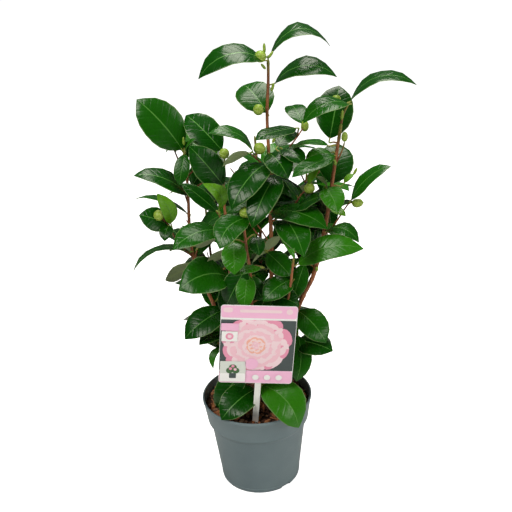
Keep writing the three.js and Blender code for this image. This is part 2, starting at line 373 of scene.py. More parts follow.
# A camellia leaf's upper cuticle is thick wax over deep green; its underside is pale and matt.
LEAF_DEEP = LeafCuticle("camellia_leaf_deep_green", "#0a4401", 0.25, ior=1.3, coat=0.08)
LEAF_FULL = LeafCuticle("camellia_leaf_full_green", "#155502", 0.25, ior=1.3, coat=0.08)
LEAF_FRESH = LeafCuticle("camellia_leaf_fresh_green", "#2c720a", 0.27, ior=1.33, coat=0.06)
LEAF_YOUNG = LeafCuticle("camellia_leaf_young_green", "#5a9416", 0.32, ior=1.33, coat=0.05)
LEAF_RIB = Finish("leaf_midrib_pale_green", "#4f8a34", 0.35)
LEAF_UNDER = LeafCuticle("camellia_leaf_underside", "#8c9c72", 0.6, vein_depth=0.22)
LEAF_UNDER_RIB = Finish("underside_midrib_yellow_green", "#a3b36c", 0.5)
LEAF_EDGE = Finish("leaf_margin_pale", "#5d7f42", 0.45)
LEAF_STALK = Speckled("leaf_stalk_green", "#7d9a3c", 0.45, second="#8f8a44", mottle=6)
BUD_SCALE = Speckled("bud_scale_yellow_green", "#789a2a", 0.4, second="#95b440", mottle=7, grit=0.8)
BUD_EDGE = Finish("bud_scale_margin", "#9fb455", 0.5)
TWIG_BARK = YoungBark("twig_bark_red_brown", "#6b3a26", 0.55, tip_colour="#7a8038")
STEM_BARK = YoungBark("young_camellia_bark", "#92583a", 0.55)
POT_PLASTIC = Speckled("moulded_polypropylene_slate", "#6c7e85", 0.48, second="#74868c", mottle=60,
                       relief=0.12, grit=1.2)
COMPOST = Speckled("moist_compost", "#2a1a12", 0.95, second="#4b3021", mottle=5, relief=1.2, grit=2)
CHIP_RED = Speckled("bark_chip_red_brown", "#8d5434", 0.85, second="#b0744c", mottle=4, relief=0.4)
CHIP_DARK = Speckled("bark_chip_dark", "#3d2519", 0.9, second="#5a3826", mottle=4, relief=0.4)
CHIP_PALE = Speckled("bark_chip_weathered", "#96735a", 0.85, second="#7c5a44", mottle=4, relief=0.4)
CARD_WHITE = Ink("printed_card_white", "#fdfeff")
PRINT_PINK = Ink("print_candy_pink", "#ffc4e8")
PRINT_BLUSH = Ink("print_blush", "#fde0ea")
PRINT_PETAL = Ink("print_petal_pink", "#fbcbdb")
PRINT_CREAM = Ink("print_petal_cream", "#ffdfe2")
PRINT_PEACH = Ink("print_petal_peach", "#fab8a6")
PRINT_SLATE = Ink("print_dark_slate", "#3c4a4c")
PRINT_ROSE = Ink("print_petal_rose", "#f29cbd")
PRINT_MIST = Ink("print_pale_mist", "#e2e9e4")
PRINT_LEAF = Ink("print_leaf_green", "#3f6a3c")
STICK_PLASTIC = Speckled("moulded_polystyrene_white", "#eff3ee", 0.4, second="#f8fbf8", mottle=30,
                         relief=0.05)


class Tone(Enum):
    """How old a leaf is, from its green."""

    DEEP = LEAF_DEEP
    FULL = LEAF_FULL
    FRESH = LEAF_FRESH
    YOUNG = LEAF_YOUNG


# ---- Joined meshes


@dataclass
class Joined:
    """Collects the points and faces of many small things for one joined mesh."""

    name: str
    points: list[np.ndarray] = field(default_factory=list)
    faces: Faces = field(default_factory=list)
    finishes: list[Finish] = field(default_factory=list)
    face_finish: list[int] = field(default_factory=list)
    lie: list[Pair] = field(default_factory=list)
    bake: list[Pair] = field(default_factory=list)
    youth: list[float] = field(default_factory=list)
    count: int = 0

    def finish_number(self, finish: Finish) -> int:
        """Returns the number of a finish in this mesh, and takes it in if it is new."""
        if finish not in self.finishes:
            self.finishes.append(finish)
        return self.finishes.index(finish)

    def add(self, points: np.ndarray, faces: Faces, finish: Finish | list[Finish],
            lie: list[Pair] | None = None, bake: list[Pair] | None = None,
            youth: list[float] | None = None) -> None:
        """Adds one small thing.

        Args:
            points: its points in mm.
            faces: its faces, by point number.
            finish: its finish, or one for each face.
            lie: the leaf map's place for each corner of each face.
            bake: the layout map's place for each corner of each face.
            youth: 0 on old wood to 1 on green wood, for each point.
        """
        several = finish if isinstance(finish, list) else [finish] * len(faces)
        self.face_finish += [self.finish_number(one) for one in several]
        self.faces += [tuple(self.count + i for i in face) for face in faces]
        self.points.append(points)
        self.count += len(points)
        self.lie += lie or []
        self.bake += bake or []
        self.youth += youth or []

    def build(self, smooth_angle: float = 50.0) -> Piece:
        """Makes the object.

        Args:
            smooth_angle: edges sharper than this many degrees stay crisp.

        Returns:
            The object.
        """
        mesh = bpy.data.meshes.new(self.name)
        mesh.from_pydata((np.concatenate(self.points) * MM).tolist(), [], self.faces)
        for finish in self.finishes:
            mesh.materials.append(finish.build())
        mesh.polygons.foreach_set("material_index", self.face_finish)
        for map_name, places in (("leaf_lie", self.lie), ("OFBake", self.bake)):
            if places:
                layer = mesh.uv_layers.new(name=map_name)
                layer.data.foreach_set("uv", np.array(places, dtype=np.float32).ravel())
        if self.youth:
            mesh.attributes.new("youth", "FLOAT", "POINT").data.foreach_set("value", self.youth)
        mesh.update()
        piece = bpy.data.objects.new(self.name, mesh)
        bpy.context.collection.objects.link(piece)
        smooth(piece, smooth_angle)
        return piece


def only(piece: Piece) -> None:
    """Selects one object alone and makes it the active one."""
    bpy.ops.object.select_all(action="DESELECT")
    piece.select_set(True)
    bpy.context.view_layer.objects.active = piece


def smooth(piece: Piece, angle: float) -> None:
    """Smooths a piece, but for its edges sharper than an angle in degrees."""
    only(piece)
    bpy.ops.object.shade_smooth_by_angle(angle=math.radians(angle))


def primitive(name: str, add: Callable[..., set[str]], **sizes: object) -> Piece:
    """Adds a primitive, selected alone.

    Args:
        name: a name for it and its mesh.
        add: the operator that adds it.
        sizes: what the operator is told.

    Returns:
        The object.
    """
    bpy.ops.object.select_all(action="DESELECT")
    add(**sizes)
    piece = bpy.context.object
    piece.name = piece.data.name = name
    return piece


def outward() -> None:
    """Turns the normals of the mesh in edit mode outwards, and leaves edit mode."""
    bpy.ops.mesh.select_all(action="SELECT")
    bpy.ops.mesh.normals_make_consistent(inside=False)
    bpy.ops.object.mode_set(mode="OBJECT")


def merged(name: str, pieces: list[Piece]) -> Piece:
    """Joins pieces into the first.

    Args:
        name: the new name of the whole.
        pieces: the pieces.

    Returns:
        The whole.
    """
    only(pieces[0])
    for piece in pieces:
        piece.select_set(True)
    bpy.ops.object.join()
    pieces[0].name = pieces[0].data.name = name
    return pieces[0]


def settle(piece: Piece, slot: str, *nodes: str) -> Piece:
    """Hands a finished piece to the frame.

    Args:
        piece: the object, already in its place.
        slot: the record's material slot; not used.
        nodes: the solids that it stands for.

    Returns:
        The same object.
    """
    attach(piece, BODY)
    if nodes:
        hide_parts(*nodes)
    LOG.info("%s: %d faces, stands for %s", piece.name, len(piece.data.polygons),
             ", ".join(nodes) or "nothing")
    return piece


def band(low: int, high: int, sides: int) -> Faces:
    """Returns the faces between two rings of points, by the number of each ring's first point."""
    around = [(i, (i + 1) % sides) for i in range(sides)]
    return [(low + i, low + j, high + j, high + i) for i, j in around]


def tube(way: np.ndarray, radii: np.ndarray, sides: int) -> tuple[np.ndarray, Faces]:
    """Skins a closed tube over a way.

    Args:
        way: its centre points in mm.
        radii: its radius at each of them.
        sides: how many sides it has.

    Returns:
        The points and the faces.
    """
    count = len(way)
    tangents = np.gradient(way, axis=0)
    across = unit(np.cross(tangents[0], [0.31, 0.92, 0.24]))
    points = []
    for place, tangent, radius in zip(way, tangents, radii):
        tangent = unit(tangent)
        across = unit(across - tangent * across.dot(tangent))
        along = np.cross(tangent, across)
        for i in range(sides):
            angle = 2 * math.pi * i / sides
            points.append(place + radius * (math.cos(angle) * across + math.sin(angle) * along))
    faces = [tuple(range(sides))[::-1], tuple(range((count - 1) * sides, count * sides))]
    for ring in range(count - 1):
        faces += band(ring * sides, (ring + 1) * sides, sides)
    return np.array(points), faces


# ---- Leaves

# A leaf's half width along its length: wedge-shaped foot, full oval middle, short drawn-out tip.
OUTLINE_AT = (0, 0.03, 0.08, 0.15, 0.24, 0.34, 0.45, 0.56, 0.67, 0.77, 0.86, 0.92, 0.965, 1.0)
OUTLINE_WIDE = (0.05, 0.22, 0.44, 0.67, 0.85, 0.96, 1.0, 0.99, 0.92, 0.8, 0.6, 0.38, 0.17, 0.015)
LEAF_THICK = 0.5  # mm at the midrib, over what the margin has
MARGIN_THICK = 0.12
MARGIN_THINNING = 0.75
TIP_DROOP, TIP_FROM = 0.045, 0.78  # share of the length that the tip hangs, and where it starts
EDGE_WAVE, EDGE_WAVES = 0.07, 9.0  # height of the edge's waves, and how closely they follow
CUP, CUP_EDGE = 0.2, 2.6  # how far the blade turns down towards its margin, and how late
NARROW_STRIP = 0.1  # as a share of the half width; the rib and the margins are narrower
# A leaf's cell on the layout map, as shares of its side: the upper side's half, the underside's, and
# the edge's strip between them.
HALF_WIDE, UPPER_FROM, UNDER_FROM = 0.44, 0.02, 0.52
CELL_FROM, CELL_LONG = 0.03, 0.94
EDGE_LEFT, EDGE_RIGHT = 0.475, 0.495
STALK_LENGTH = 8.0


@dataclass(frozen=True)
class LeafGrid:
    """How finely a leaf is cut, by its stations from foot to tip and its columns across."""

    at: tuple[float, ...]
    across: tuple[float, ...]

    def wide(self) -> np.ndarray:
        """Returns the half width at each station, as a share of the widest."""
        return np.interp(self.at, OUTLINE_AT, OUTLINE_WIDE)


MEASURING_GRID = LeafGrid(OUTLINE_AT, (-1, -0.955, -0.7, -0.35, -0.028, 0.028, 0.35, 0.7, 0.955, 1))
LED_GRID = LeafGrid((0, 0.04, 0.12, 0.24, 0.38, 0.54, 0.7, 0.84, 0.94, 1),
                    (-1, -0.955, -0.55, -0.028, 0.028, 0.55, 0.955, 1))
GROWN_GRID = LeafGrid((0, 0.07, 0.22, 0.45, 0.7, 0.88, 1), (-1, -0.03, 0.03, 1))


@dataclass(frozen=True)
class Leaf:
    """One leaf, by the sighted places of its foot and tip.

    Lengths are in mm. lift is how far its middle arches over the line from foot to tip, and bow how
    far it swings to the leaf's own right. turn tips its upper side from straight up towards the eye,
    in degrees. fold is how steeply its halves rise from the midrib.
    """

    foot: Place
    tip: Place
    width: float
    lift: float = 8.0
    turn: float = 20.0
    tone: Tone = Tone.DEEP
    fold: float = 0.2
    bow: float = 0.0

    def ends(self) -> tuple[np.ndarray, np.ndarray]:
        """Returns its foot and tip in mm."""
        return sighted(self.foot), sighted(self.tip)

    def facing(self) -> np.ndarray:
        """Returns the direction that its upper side looks, before it is squared to its length."""
        turn = math.radians(self.turn)
        return np.array([0.0, -math.sin(turn), math.cos(turn)])

    def grid(self) -> LeafGrid:
        """Returns how finely it is cut."""
        return LED_GRID


@dataclass(frozen=True)
class GrownLeaf(Leaf):
    """A leaf set by its true foot, heading and facing in mm, as the branching rule gives them."""

    start: tuple = (0.0, 0.0, 0.0)
    end: tuple = (0.0, 0.0, 1.0)
    face: tuple = (0.0, 0.0, 1.0)

    def ends(self) -> tuple[np.ndarray, np.ndarray]:
        """Returns its foot and tip in mm."""
        return np.array(self.start), np.array(self.end)

    def facing(self) -> np.ndarray:
        """Returns the direction that its upper side looks."""
        return np.array(self.face)

    def grid(self) -> LeafGrid:
        """Returns how finely it is cut: coarsely, since there are so many of these."""
        return GROWN_GRID


def leaf_face(leaf: Leaf, seed: float, grid: LeafGrid) -> tuple[np.ndarray, np.ndarray]:
    """Works out the upper face of a leaf.

    Args:
        leaf: the leaf.
        seed: sets where its edge waves.
        grid: the stations and columns that its points lie on.

    Returns:
        The points of the face, and the direction out of the face at each, by row and column.
    """
    foot, tip = leaf.ends()
    chord = tip - foot
    length = float(np.linalg.norm(chord))
    axis = chord / length
    up = unit(leaf.facing() - axis * leaf.facing().dot(axis))
    side = np.cross(axis, up)
    t = np.array(grid.at)
    middle = 4 * t * (1 - t)
    droop = TIP_DROOP * length * np.clip((t - TIP_FROM) / (1 - TIP_FROM), 0, 1) ** 1.5
    arch = leaf.lift * middle**0.9 - droop
    spine = foot + np.outer(t * length, axis) + np.outer(arch, up) + np.outer(leaf.bow * middle, side)
    tangents = np.gradient(spine, axis=0)
    half = leaf.width / 2 * grid.wide()
    face = np.zeros((len(t), len(grid.across), 3))
    outward = np.zeros_like(face)
    for row, (centre, tangent, reach) in enumerate(zip(spine, tangents, half)):
        normal = unit(np.cross(side, tangent))
        wave = EDGE_WAVE * math.sin(EDGE_WAVES * t[row] + seed) * math.sin(math.pi * t[row])
        for column, u in enumerate(grid.across):
            rise = leaf.fold * abs(u) - CUP * abs(u) ** CUP_EDGE + wave * u * abs(u)
            face[row, column] = centre + side * u * reach + normal * rise * reach
            outward[row, column] = normal
    return face, outward


@dataclass
class LeafMesh:
    """Leaves of one part of the crown, as one joined mesh with upper sides, undersides and edges."""

    name: str
    leaves: list[Leaf] = field(default_factory=list)

    def build(self) -> Piece:
        """Makes the joined mesh.

        Returns:
            The object.
        """
        joined = Joined(self.name)
        cells = math.ceil(math.sqrt(max(1, len(self.leaves))))
        for number, leaf in enumerate(self.leaves):
            corner = (number % cells / cells, number // cells / cells)
            self.add_leaf(joined, leaf, number * 1.7 + leaf.width, corner, 1 / cells)
        return joined.build(60)

    def add_leaf(self, joined: Joined, leaf: Leaf, seed: float, corner: Pair, cell: float) -> None:
        """Adds one leaf.

        Args:
            joined: the mesh that takes it.
            leaf: the leaf.
            seed: sets where its edge waves.
            corner: the low corner of its cell on the layout map.
            cell: the side of that cell.
        """
        grid = leaf.grid()
        at, across, wide = grid.at, grid.across, grid.wide()
        face, outward = leaf_face(leaf, seed, grid)
        rows, columns = face.shape[:2]
        thick = LEAF_THICK * (1 - MARGIN_THINNING * np.abs(across)) + MARGIN_THICK
        under = face - outward * thick[None, :, None]
        points = np.concatenate([face.reshape(-1, 3), under.reshape(-1, 3)])
        half = rows * columns

        def spot(row: int, column: int) -> Pair:
            """Returns a point's place on the leaf's own map, by its width here and its length."""
            return 0.5 + 0.5 * across[column] * wide[row], at[row]

        def laid(row: int, column: int, left: float) -> Pair:
            """Returns its place on the layout map, in one half of the leaf's cell."""
            u, v = spot(row, column)
            return (corner[0] + cell * (left + HALF_WIDE * u),
                    corner[1] + cell * (CELL_FROM + CELL_LONG * v))

        faces, finishes, lie, bake = [], [], [], []
        for row in range(rows - 1):
            for column in range(columns - 1):
                a, b = (row, column), (row, column + 1)
                c, d = (row + 1, column + 1), (row + 1, column)
                narrow = across[column + 1] - across[column] < NARROW_STRIP
                rib = narrow and across[column] < 0 < across[column + 1]
                upper = LEAF_RIB if rib else LEAF_EDGE if narrow else leaf.tone.value
                # both sides split along the same diagonal, so that neither comes through the other
                for corners in ([a, b, c, d],) if narrow else ([a, b, c], [a, c, d]):
                    faces.append(tuple(r * columns + n for r, n in corners))
                    faces.append(tuple(half + r * columns + n for r, n in corners[::-1]))
                    finishes += [upper, LEAF_UNDER_RIB if rib else LEAF_UNDER]
                    lie += [spot(r, n) for r, n in corners + corners[::-1]]
                    bake += [laid(r, n, UPPER_FROM) for r, n in corners]
                    bake += [laid(r, n, UNDER_FROM) for r, n in corners[::-1]]
        rim = [(row, 0) for row in range(rows)] + [(rows - 1, column) for column in range(1, columns)]
        rim += [(row, columns - 1) for row in range(rows - 2, -1, -1)]
        rim += [(0, column) for column in range(columns - 2, 0, -1)]
        for number, (a, b) in enumerate(zip(rim, rim[1:] + rim[:1])):
            high = a[0] * columns + a[1], b[0] * columns + b[1]
            faces.append((high[0], high[1], half + high[1], half + high[0]))
            finishes.append(LEAF_EDGE)
            lie += [spot(*a), spot(*b), spot(*b), spot(*a)]
            low, top = number / len(rim), (number + 1) / len(rim)
            strip = (EDGE_LEFT, low), (EDGE_LEFT, top), (EDGE_RIGHT, top), (EDGE_RIGHT, low)
            bake += [(corner[0] + cell * x, corner[1] + cell * (CELL_FROM + CELL_LONG * y))
                     for x, y in strip]
        joined.add(points, faces, finishes, lie, bake)


# Leaves that are led one by one, shoot by shoot: foot, tip, width, lift, turn, and what is unusual.
LED_LEAVES: dict[str, list[Leaf]] = {
    "leaves_crown_tip": [
        Leaf((29, 586, -2), (-49, 571, -22), 38, 22, 30),
        Leaf((37, 592, 2), (106, 602, 4), 36, 25, 12),
        Leaf((41, 559, 0), (114, 565, -12), 40, 18, 20),
        Leaf((30, 524, 4), (3, 560, 50), 46, 6, 38, Tone.FULL),
        Leaf((72, 508, 14), (58, 532, 60), 27, 6, 22, Tone.FULL),
        Leaf((64, 503, -14), (15, 493, -46), 30, 2, 12),
        Leaf((41, 481, 6), (62, 501, 50), 26, 4, 28),
    ],
    "leaves_right_top": [
        Leaf((130, 532, -12), (208, 551, -30), 34, 20, 12),
        Leaf((128, 529, -12), (73, 511, -40), 34, 12, 16, Tone.FULL),
        Leaf((105, 488, 0), (117, 553, 40), 46, 4, 62),
        Leaf((107, 430, 6), (116, 482, 52), 46, 4, 58),
        Leaf((111, 466, -14), (58, 443, -52), 24, 2, 26, Tone.FULL, fold=0.34),
        Leaf((106, 470, -6), (74, 457, -12), 25, 5, 35, Tone.FRESH),
        Leaf((103, 479, -18), (54, 475, -4), 28, 8, 0, Tone.FULL),
        Leaf((131, 407, -18), (178, 450, -30), 34, 7, 14, Tone.FULL),
        Leaf((122, 430, -14), (134, 441, -10), 9, 2, 20, Tone.YOUNG),
    ],
    "leaves_left_top": [
        Leaf((-75, 484, 16), (-123, 548, 18), 50, 4, 62, Tone.FULL, bow=3),
        Leaf((-27, 480, 0), (-67, 527, 30), 39, 6, 48),
        Leaf((11, 475, -8), (-40, 504, -30), 28, 14, 22, Tone.FULL),
        Leaf((6, 475, -20), (-28, 461, -36), 20, 3, -50),
        Leaf((-72, 480, 8), (-58, 497, -6), 9, 3, 30, Tone.FULL),
        Leaf((-28, 435, -8), (-65, 487, -22), 38, 5, 55),
        Leaf((-73, 425, 14), (-135, 456, -6), 38, 10, 20),
        Leaf((-75, 400, 20), (-137, 426, 26), 34, 8, -12, Tone.FULL),
        Leaf((-97, 388, 4), (-110, 428, -4), 20, 5, 50, Tone.YOUNG, bow=5, fold=0.45),
        Leaf((-100, 386, 4), (-135, 402, -4), 32, 4, 45),
        Leaf((-100, 385, 0), (-107, 365, -20), 18, 4, 22),
        Leaf((-72, 478, 10), (-82, 438, -6), 20, 3, 40, Tone.FULL),
    ],
    "leaves_centre": [
        Leaf((47, 478, -6), (72, 457, -34), 28, 5, 15),
        Leaf((30, 473, -6), (53, 440, -42), 34, 7, 27),
        Leaf((28, 460, -8), (-20, 405, -60), 42, 12, 22),
        Leaf((40, 445, -8), (5, 378, -70), 38, 12, 26),
        Leaf((-35, 402, -24), (-52, 438, -40), 19, 8, 44, Tone.YOUNG, bow=9, fold=0.45),
        Leaf((-37, 400, -18), (-79, 441, -10), 20, 3, 40),
        Leaf((60, 399, -20), (96, 414, -38), 34, 2, 14),
        Leaf((63, 416, -8), (45, 440, 16), 26, 3, -34),
        Leaf((77, 432, -14), (90, 448, -22), 15, 3, 30, Tone.YOUNG),
        Leaf((88, 440, -16), (102, 424, -26), 15, 3, -40),
        Leaf((100, 424, -22), (114, 392, -52), 30, 6, 36, Tone.FRESH, fold=0.4),
        Leaf((104, 398, -24), (124, 386, -40), 13, 2, 20, Tone.YOUNG),
        Leaf((30, 395, -6), (100, 372, -58), 40, 12, 22, Tone.FULL),
        Leaf((45, 385, -14), (70, 335, -82), 40, 12, 25, Tone.FULL),
        Leaf((36, 384, -16), (57, 333, -88), 14, 4, 30, Tone.FRESH, fold=0.5),
    ],
    "leaves_left_low": [
        Leaf((-36, 373, -16), (-97, 354, -62), 38, 13, 28, Tone.FULL),
        Leaf((1, 390, -50), (-38, 351, -84), 36, 5, 34, Tone.FULL, bow=8),
        Leaf((-76, 348, 16), (-152, 327, 0), 34, 17, -10, Tone.FULL),
        Leaf((-66, 352, 8), (-45, 367, -20), 22, 3, -50),
        Leaf((-27, 344, -14), (-57, 331, -30), 22, 2, -60),
        Leaf((-72, 327, 10), (-112, 311, -10), 34, 1, -62),
        Leaf((-28, 308, -24), (-94, 295, -60), 50, 12, 46, Tone.FULL, bow=7),
        Leaf((-35, 262, -14), (-93, 222, -44), 41, 8, 26),
        Leaf((-40, 225, -20), (-74, 212, -44), 24, 4, 8),
        Leaf((-42, 206, -24), (-58, 172, -40), 10, 4, 40, Tone.FRESH, bow=7),
        Leaf((-19, 358, -46), (-21, 313, -78), 31, 5, 45, Tone.FRESH),
        Leaf((14, 320, -52), (-20, 312, -72), 17, 3, 12, Tone.FRESH),
        Leaf((22, 344, -20), (39, 364, -34), 15, 2, -50),
        Leaf((21, 342, -20), (1, 326, -36), 15, 2, -50),
        Leaf((23, 341, -20), (52, 306, -42), 30, 3, 44, Tone.FULL),
        Leaf((8, 364, -40), (13, 338, -62), 20, 3, 40),
        Leaf((-6, 320, -40), (-34, 268, -44), 34, 4, 50),
        Leaf((-4, 311, -40), (-11, 262, -66), 25, 5, 45, Tone.FRESH),
        Leaf((-4, 309, -34), (15, 272, -40), 22, 4, 44, Tone.FULL),
        Leaf((-26, 300, -8), (-30, 248, -26), 34, 4, 50),
        Leaf((4, 306, 6), (-6, 250, -10), 36, 4, 55),
        Leaf((26, 306, 6), (26, 250, -10), 36, 4, 55),
        Leaf((53, 300, -30), (15, 272, -60), 32, 8, 34, Tone.FULL),
        Leaf((24, 275, -30), (62, 262, -50), 34, 8, 32),
    ],
    "leaves_right_low": [
        Leaf((98, 366, -22), (141, 350, -50), 32, 11, 4, Tone.FULL),
        Leaf((62, 322, -46), (146, 340, -66), 33, 9, 46, Tone.FRESH, bow=-9),
        Leaf((70, 322, -18), (54, 272, -30), 24, 4, 50, Tone.FULL),
        Leaf((50, 312, -30), (34, 284, -22), 26, 3, 50),
        Leaf((60, 254, -20), (97, 204, -56), 40, 9, 30, Tone.FULL),
        Leaf((58, 209, -24), (105, 191, -58), 38, 4, 32),
        Leaf((59, 217, -28), (55, 144, -58), 29, 5, 50, Tone.FULL, bow=-5),
    ],
    "leaves_rim": [
        Leaf((-2, 135, -26), (-52, 89, -64), 44, 11, 32, fold=0.35),
        Leaf((-14, 165, -20), (-57, 108, -34), 34, 8, 50, bow=3),
        Leaf((-36, 150, -10), (-60, 112, -26), 20, 4, -60),
        Leaf((8, 141, -40), (57, 68, -78), 50, 13, 40, Tone.FRESH, bow=-8, fold=0.35),
    ],
}

# The foliage masses that each mesh of leaves stands for.
STANDS_FOR = {
    "leaves_crown_tip": "crown_tip leader_upper leader_middle",
    "leaves_right_top": "right_top right_upper right_outer",
    "leaves_left_top": "upper_left left_top left_upper left_outer",
    "leaves_centre": "centre right_middle centre_lower",
    "leaves_left_low": "left_lower centre_left front front_low leader_foot skirt_left",
    "leaves_right_low": "right_lower low_right skirt_right",
    "leaves_rim": "rim_left rim_right",
    "leaves_back_upper": "back_top back_middle",
    "leaves_back_left": "back_left back_low_left",
    "leaves_back_right": "back_right back_low_right",
    "leaves_back_low": "back_lower back_skirt",
}


# ---- Stems, twigs and stalks

SOIL_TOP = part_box("compost")[1][2] / MM
SOIL_HOLD = 4.0  # how deep in the soil a stem's mesh starts, in mm
BARK_WAVES = np.array([[2.1, 1.7, 0.35], [-1.3, 2.4, 0.2]])  # radians to a mm
BARK_RELIEF = 0.05  # as a share of the radius
SCAR_FROM, SCAR_SWELL = 0.9, 1.6  # how short a leaf scar's swelling is, and how full
FLARE_SWELL = 0.35  # how much a stem widens at the soil


@dataclass
class Limb:
    """A tapering stem or twig by its sighted places, from foot to tip, in mm.

    thick is its thickness at both ends, foot where a stem leaves the soil, and green the length at
    its tip that is still green.
    """

    places: list[Place]
    thick: Pair
    green: float = 0.0
    name: str = "twig"
    foot: Pair | None = None
    node_every: float = 26.0
    flare: float = 18.0

    def way(self, step: float = 3.0) -> np.ndarray:
        """Works out its centre.

        Args:
            step: the length between two points of it, in mm.

        Returns:
            Its points in mm.
        """
        points = [sighted(place) for place in self.places]
        if self.foot:
            points.insert(0, np.array([*self.foot, SOIL_TOP - SOIL_HOLD]))
        return smooth_way(points, step)

    def radii(self, way: np.ndarray) -> np.ndarray:
        """Works out its radius, a little swollen at each leaf scar.

        Args:
            way: its centre points in mm.

        Returns:
            The radius at each of them.
        """
        run = run_along(way)
        plain = np.interp(run, [0, run[-1]], self.thick) / 2
        scars = np.clip(np.cos(2 * math.pi * run / self.node_every), SCAR_FROM, 1) - SCAR_FROM
        flare = np.clip(1 - run / self.flare, 0, 1) ** 2 * (FLARE_SWELL if self.foot else 0)
        end = np.clip((run[-1] - run) / (self.thick[1] / 2), 0.15, 1) ** 0.5
        return plain * (1 + SCAR_SWELL * scars + flare) * end


# Stems rise from the soil, and each has its own solid. Twigs bear the led leaves.
STEMS = [
    Limb([(19, 220, 4), (27, 310, 3), (29, 383, 1), (30, 472, 0), (30, 520, 0), (33, 561, 0),
          (34, 588, 0)], (7, 3.4), 22, "leader", (7, 2)),
    Limb([(40, 205, -16), (65, 270, -22), (83, 309, -24), (98, 373, -20), (107, 430, -14),
          (119, 506, -10)], (7.5, 3.8), 26, "right", (17, -6)),
    Limb([(-35, 220, 12), (-60, 300, 18), (-71, 335, 20), (-74, 375, 20), (-72, 430, 20),
          (-72, 486, 18)], (6.5, 3.2), 16, "left", (-8, 4)),
    Limb([(-2, 200, -26), (0, 300, -40), (-3, 345, -45), (-5, 378, -47), (-3, 390, -48)],
         (5, 3), 12, "front", (0, -13)),
    Limb([(-20, 200, -12), (-26, 300, -12), (-27, 370, -10), (-28, 430, -6), (-24, 468, -4)],
         (5.5, 3), 14, "middle", (-12, -9)),
    Limb([(32, 200, -36), (50, 285, -46), (57, 333, -46)], (4.6, 2.6), 14, "low_right", (12, -18)),
    Limb([(8, 220, 42), (14, 330, 64), (16, 430, 78), (14, 496, 84)], (6, 3), 20, "back", (3, 15)),
    Limb([(-34, 220, 48), (-48, 320, 76), (-52, 408, 90)], (5.5, 2.8), 20, "back_left", (-17, 12)),
    Limb([(46, 220, 42), (66, 320, 72), (76, 446, 90)], (5.5, 2.8), 20, "back_right", (18, 10)),
]

TWIGS = [
    Limb([(-71, 338, 20), (-90, 362, 10), (-100, 385, 4), (-109, 398, 0)], (2.8, 1.8)),
    Limb([(-71, 333, 20), (-68, 345, 14), (-64, 360, 8)], (2.6, 1.8)),
    Limb([(29, 383, 1), (46, 392, -8), (60, 405, -14), (69, 418, -12), (78, 424, -14)], (2.8, 1.8)),
    Limb([(98, 362, -21), (107, 371, -20), (127, 401, -18), (133, 402, -18)], (2.4, 1.8)),
    Limb([(30, 462, 0), (50, 474, -4), (64, 490, 4), (73, 503, 12)], (2.6, 1.8)),
    Limb([(30, 452, 0), (18, 464, -6), (8, 474, -8)], (2.4, 1.8)),
    Limb([(-27, 372, -10), (-34, 392, -16), (-39, 402, -20)], (2.4, 1.8)),
    Limb([(119, 506, -10), (122, 518, -11), (129, 531, -12)], (2.8, 2.0), 30),
    Limb([(28, 350, 2), (20, 366, 2), (12, 380, 2)], (2.4, 1.8)),
    Limb([(65, 270, -22), (62, 262, -22), (60, 254, -20)], (2.2, 1.8)),
    Limb([(36, 190, -14), (48, 204, -18), (57, 216, -25)], (2.4, 1.8)),
    Limb([(112, 455, -13), (120, 472, -14), (123, 483, -16)], (2.2, 1.8), 20),
    Limb([(101, 395, -19), (98, 410, -20), (100, 423, -22)], (2.2, 1.8)),
]


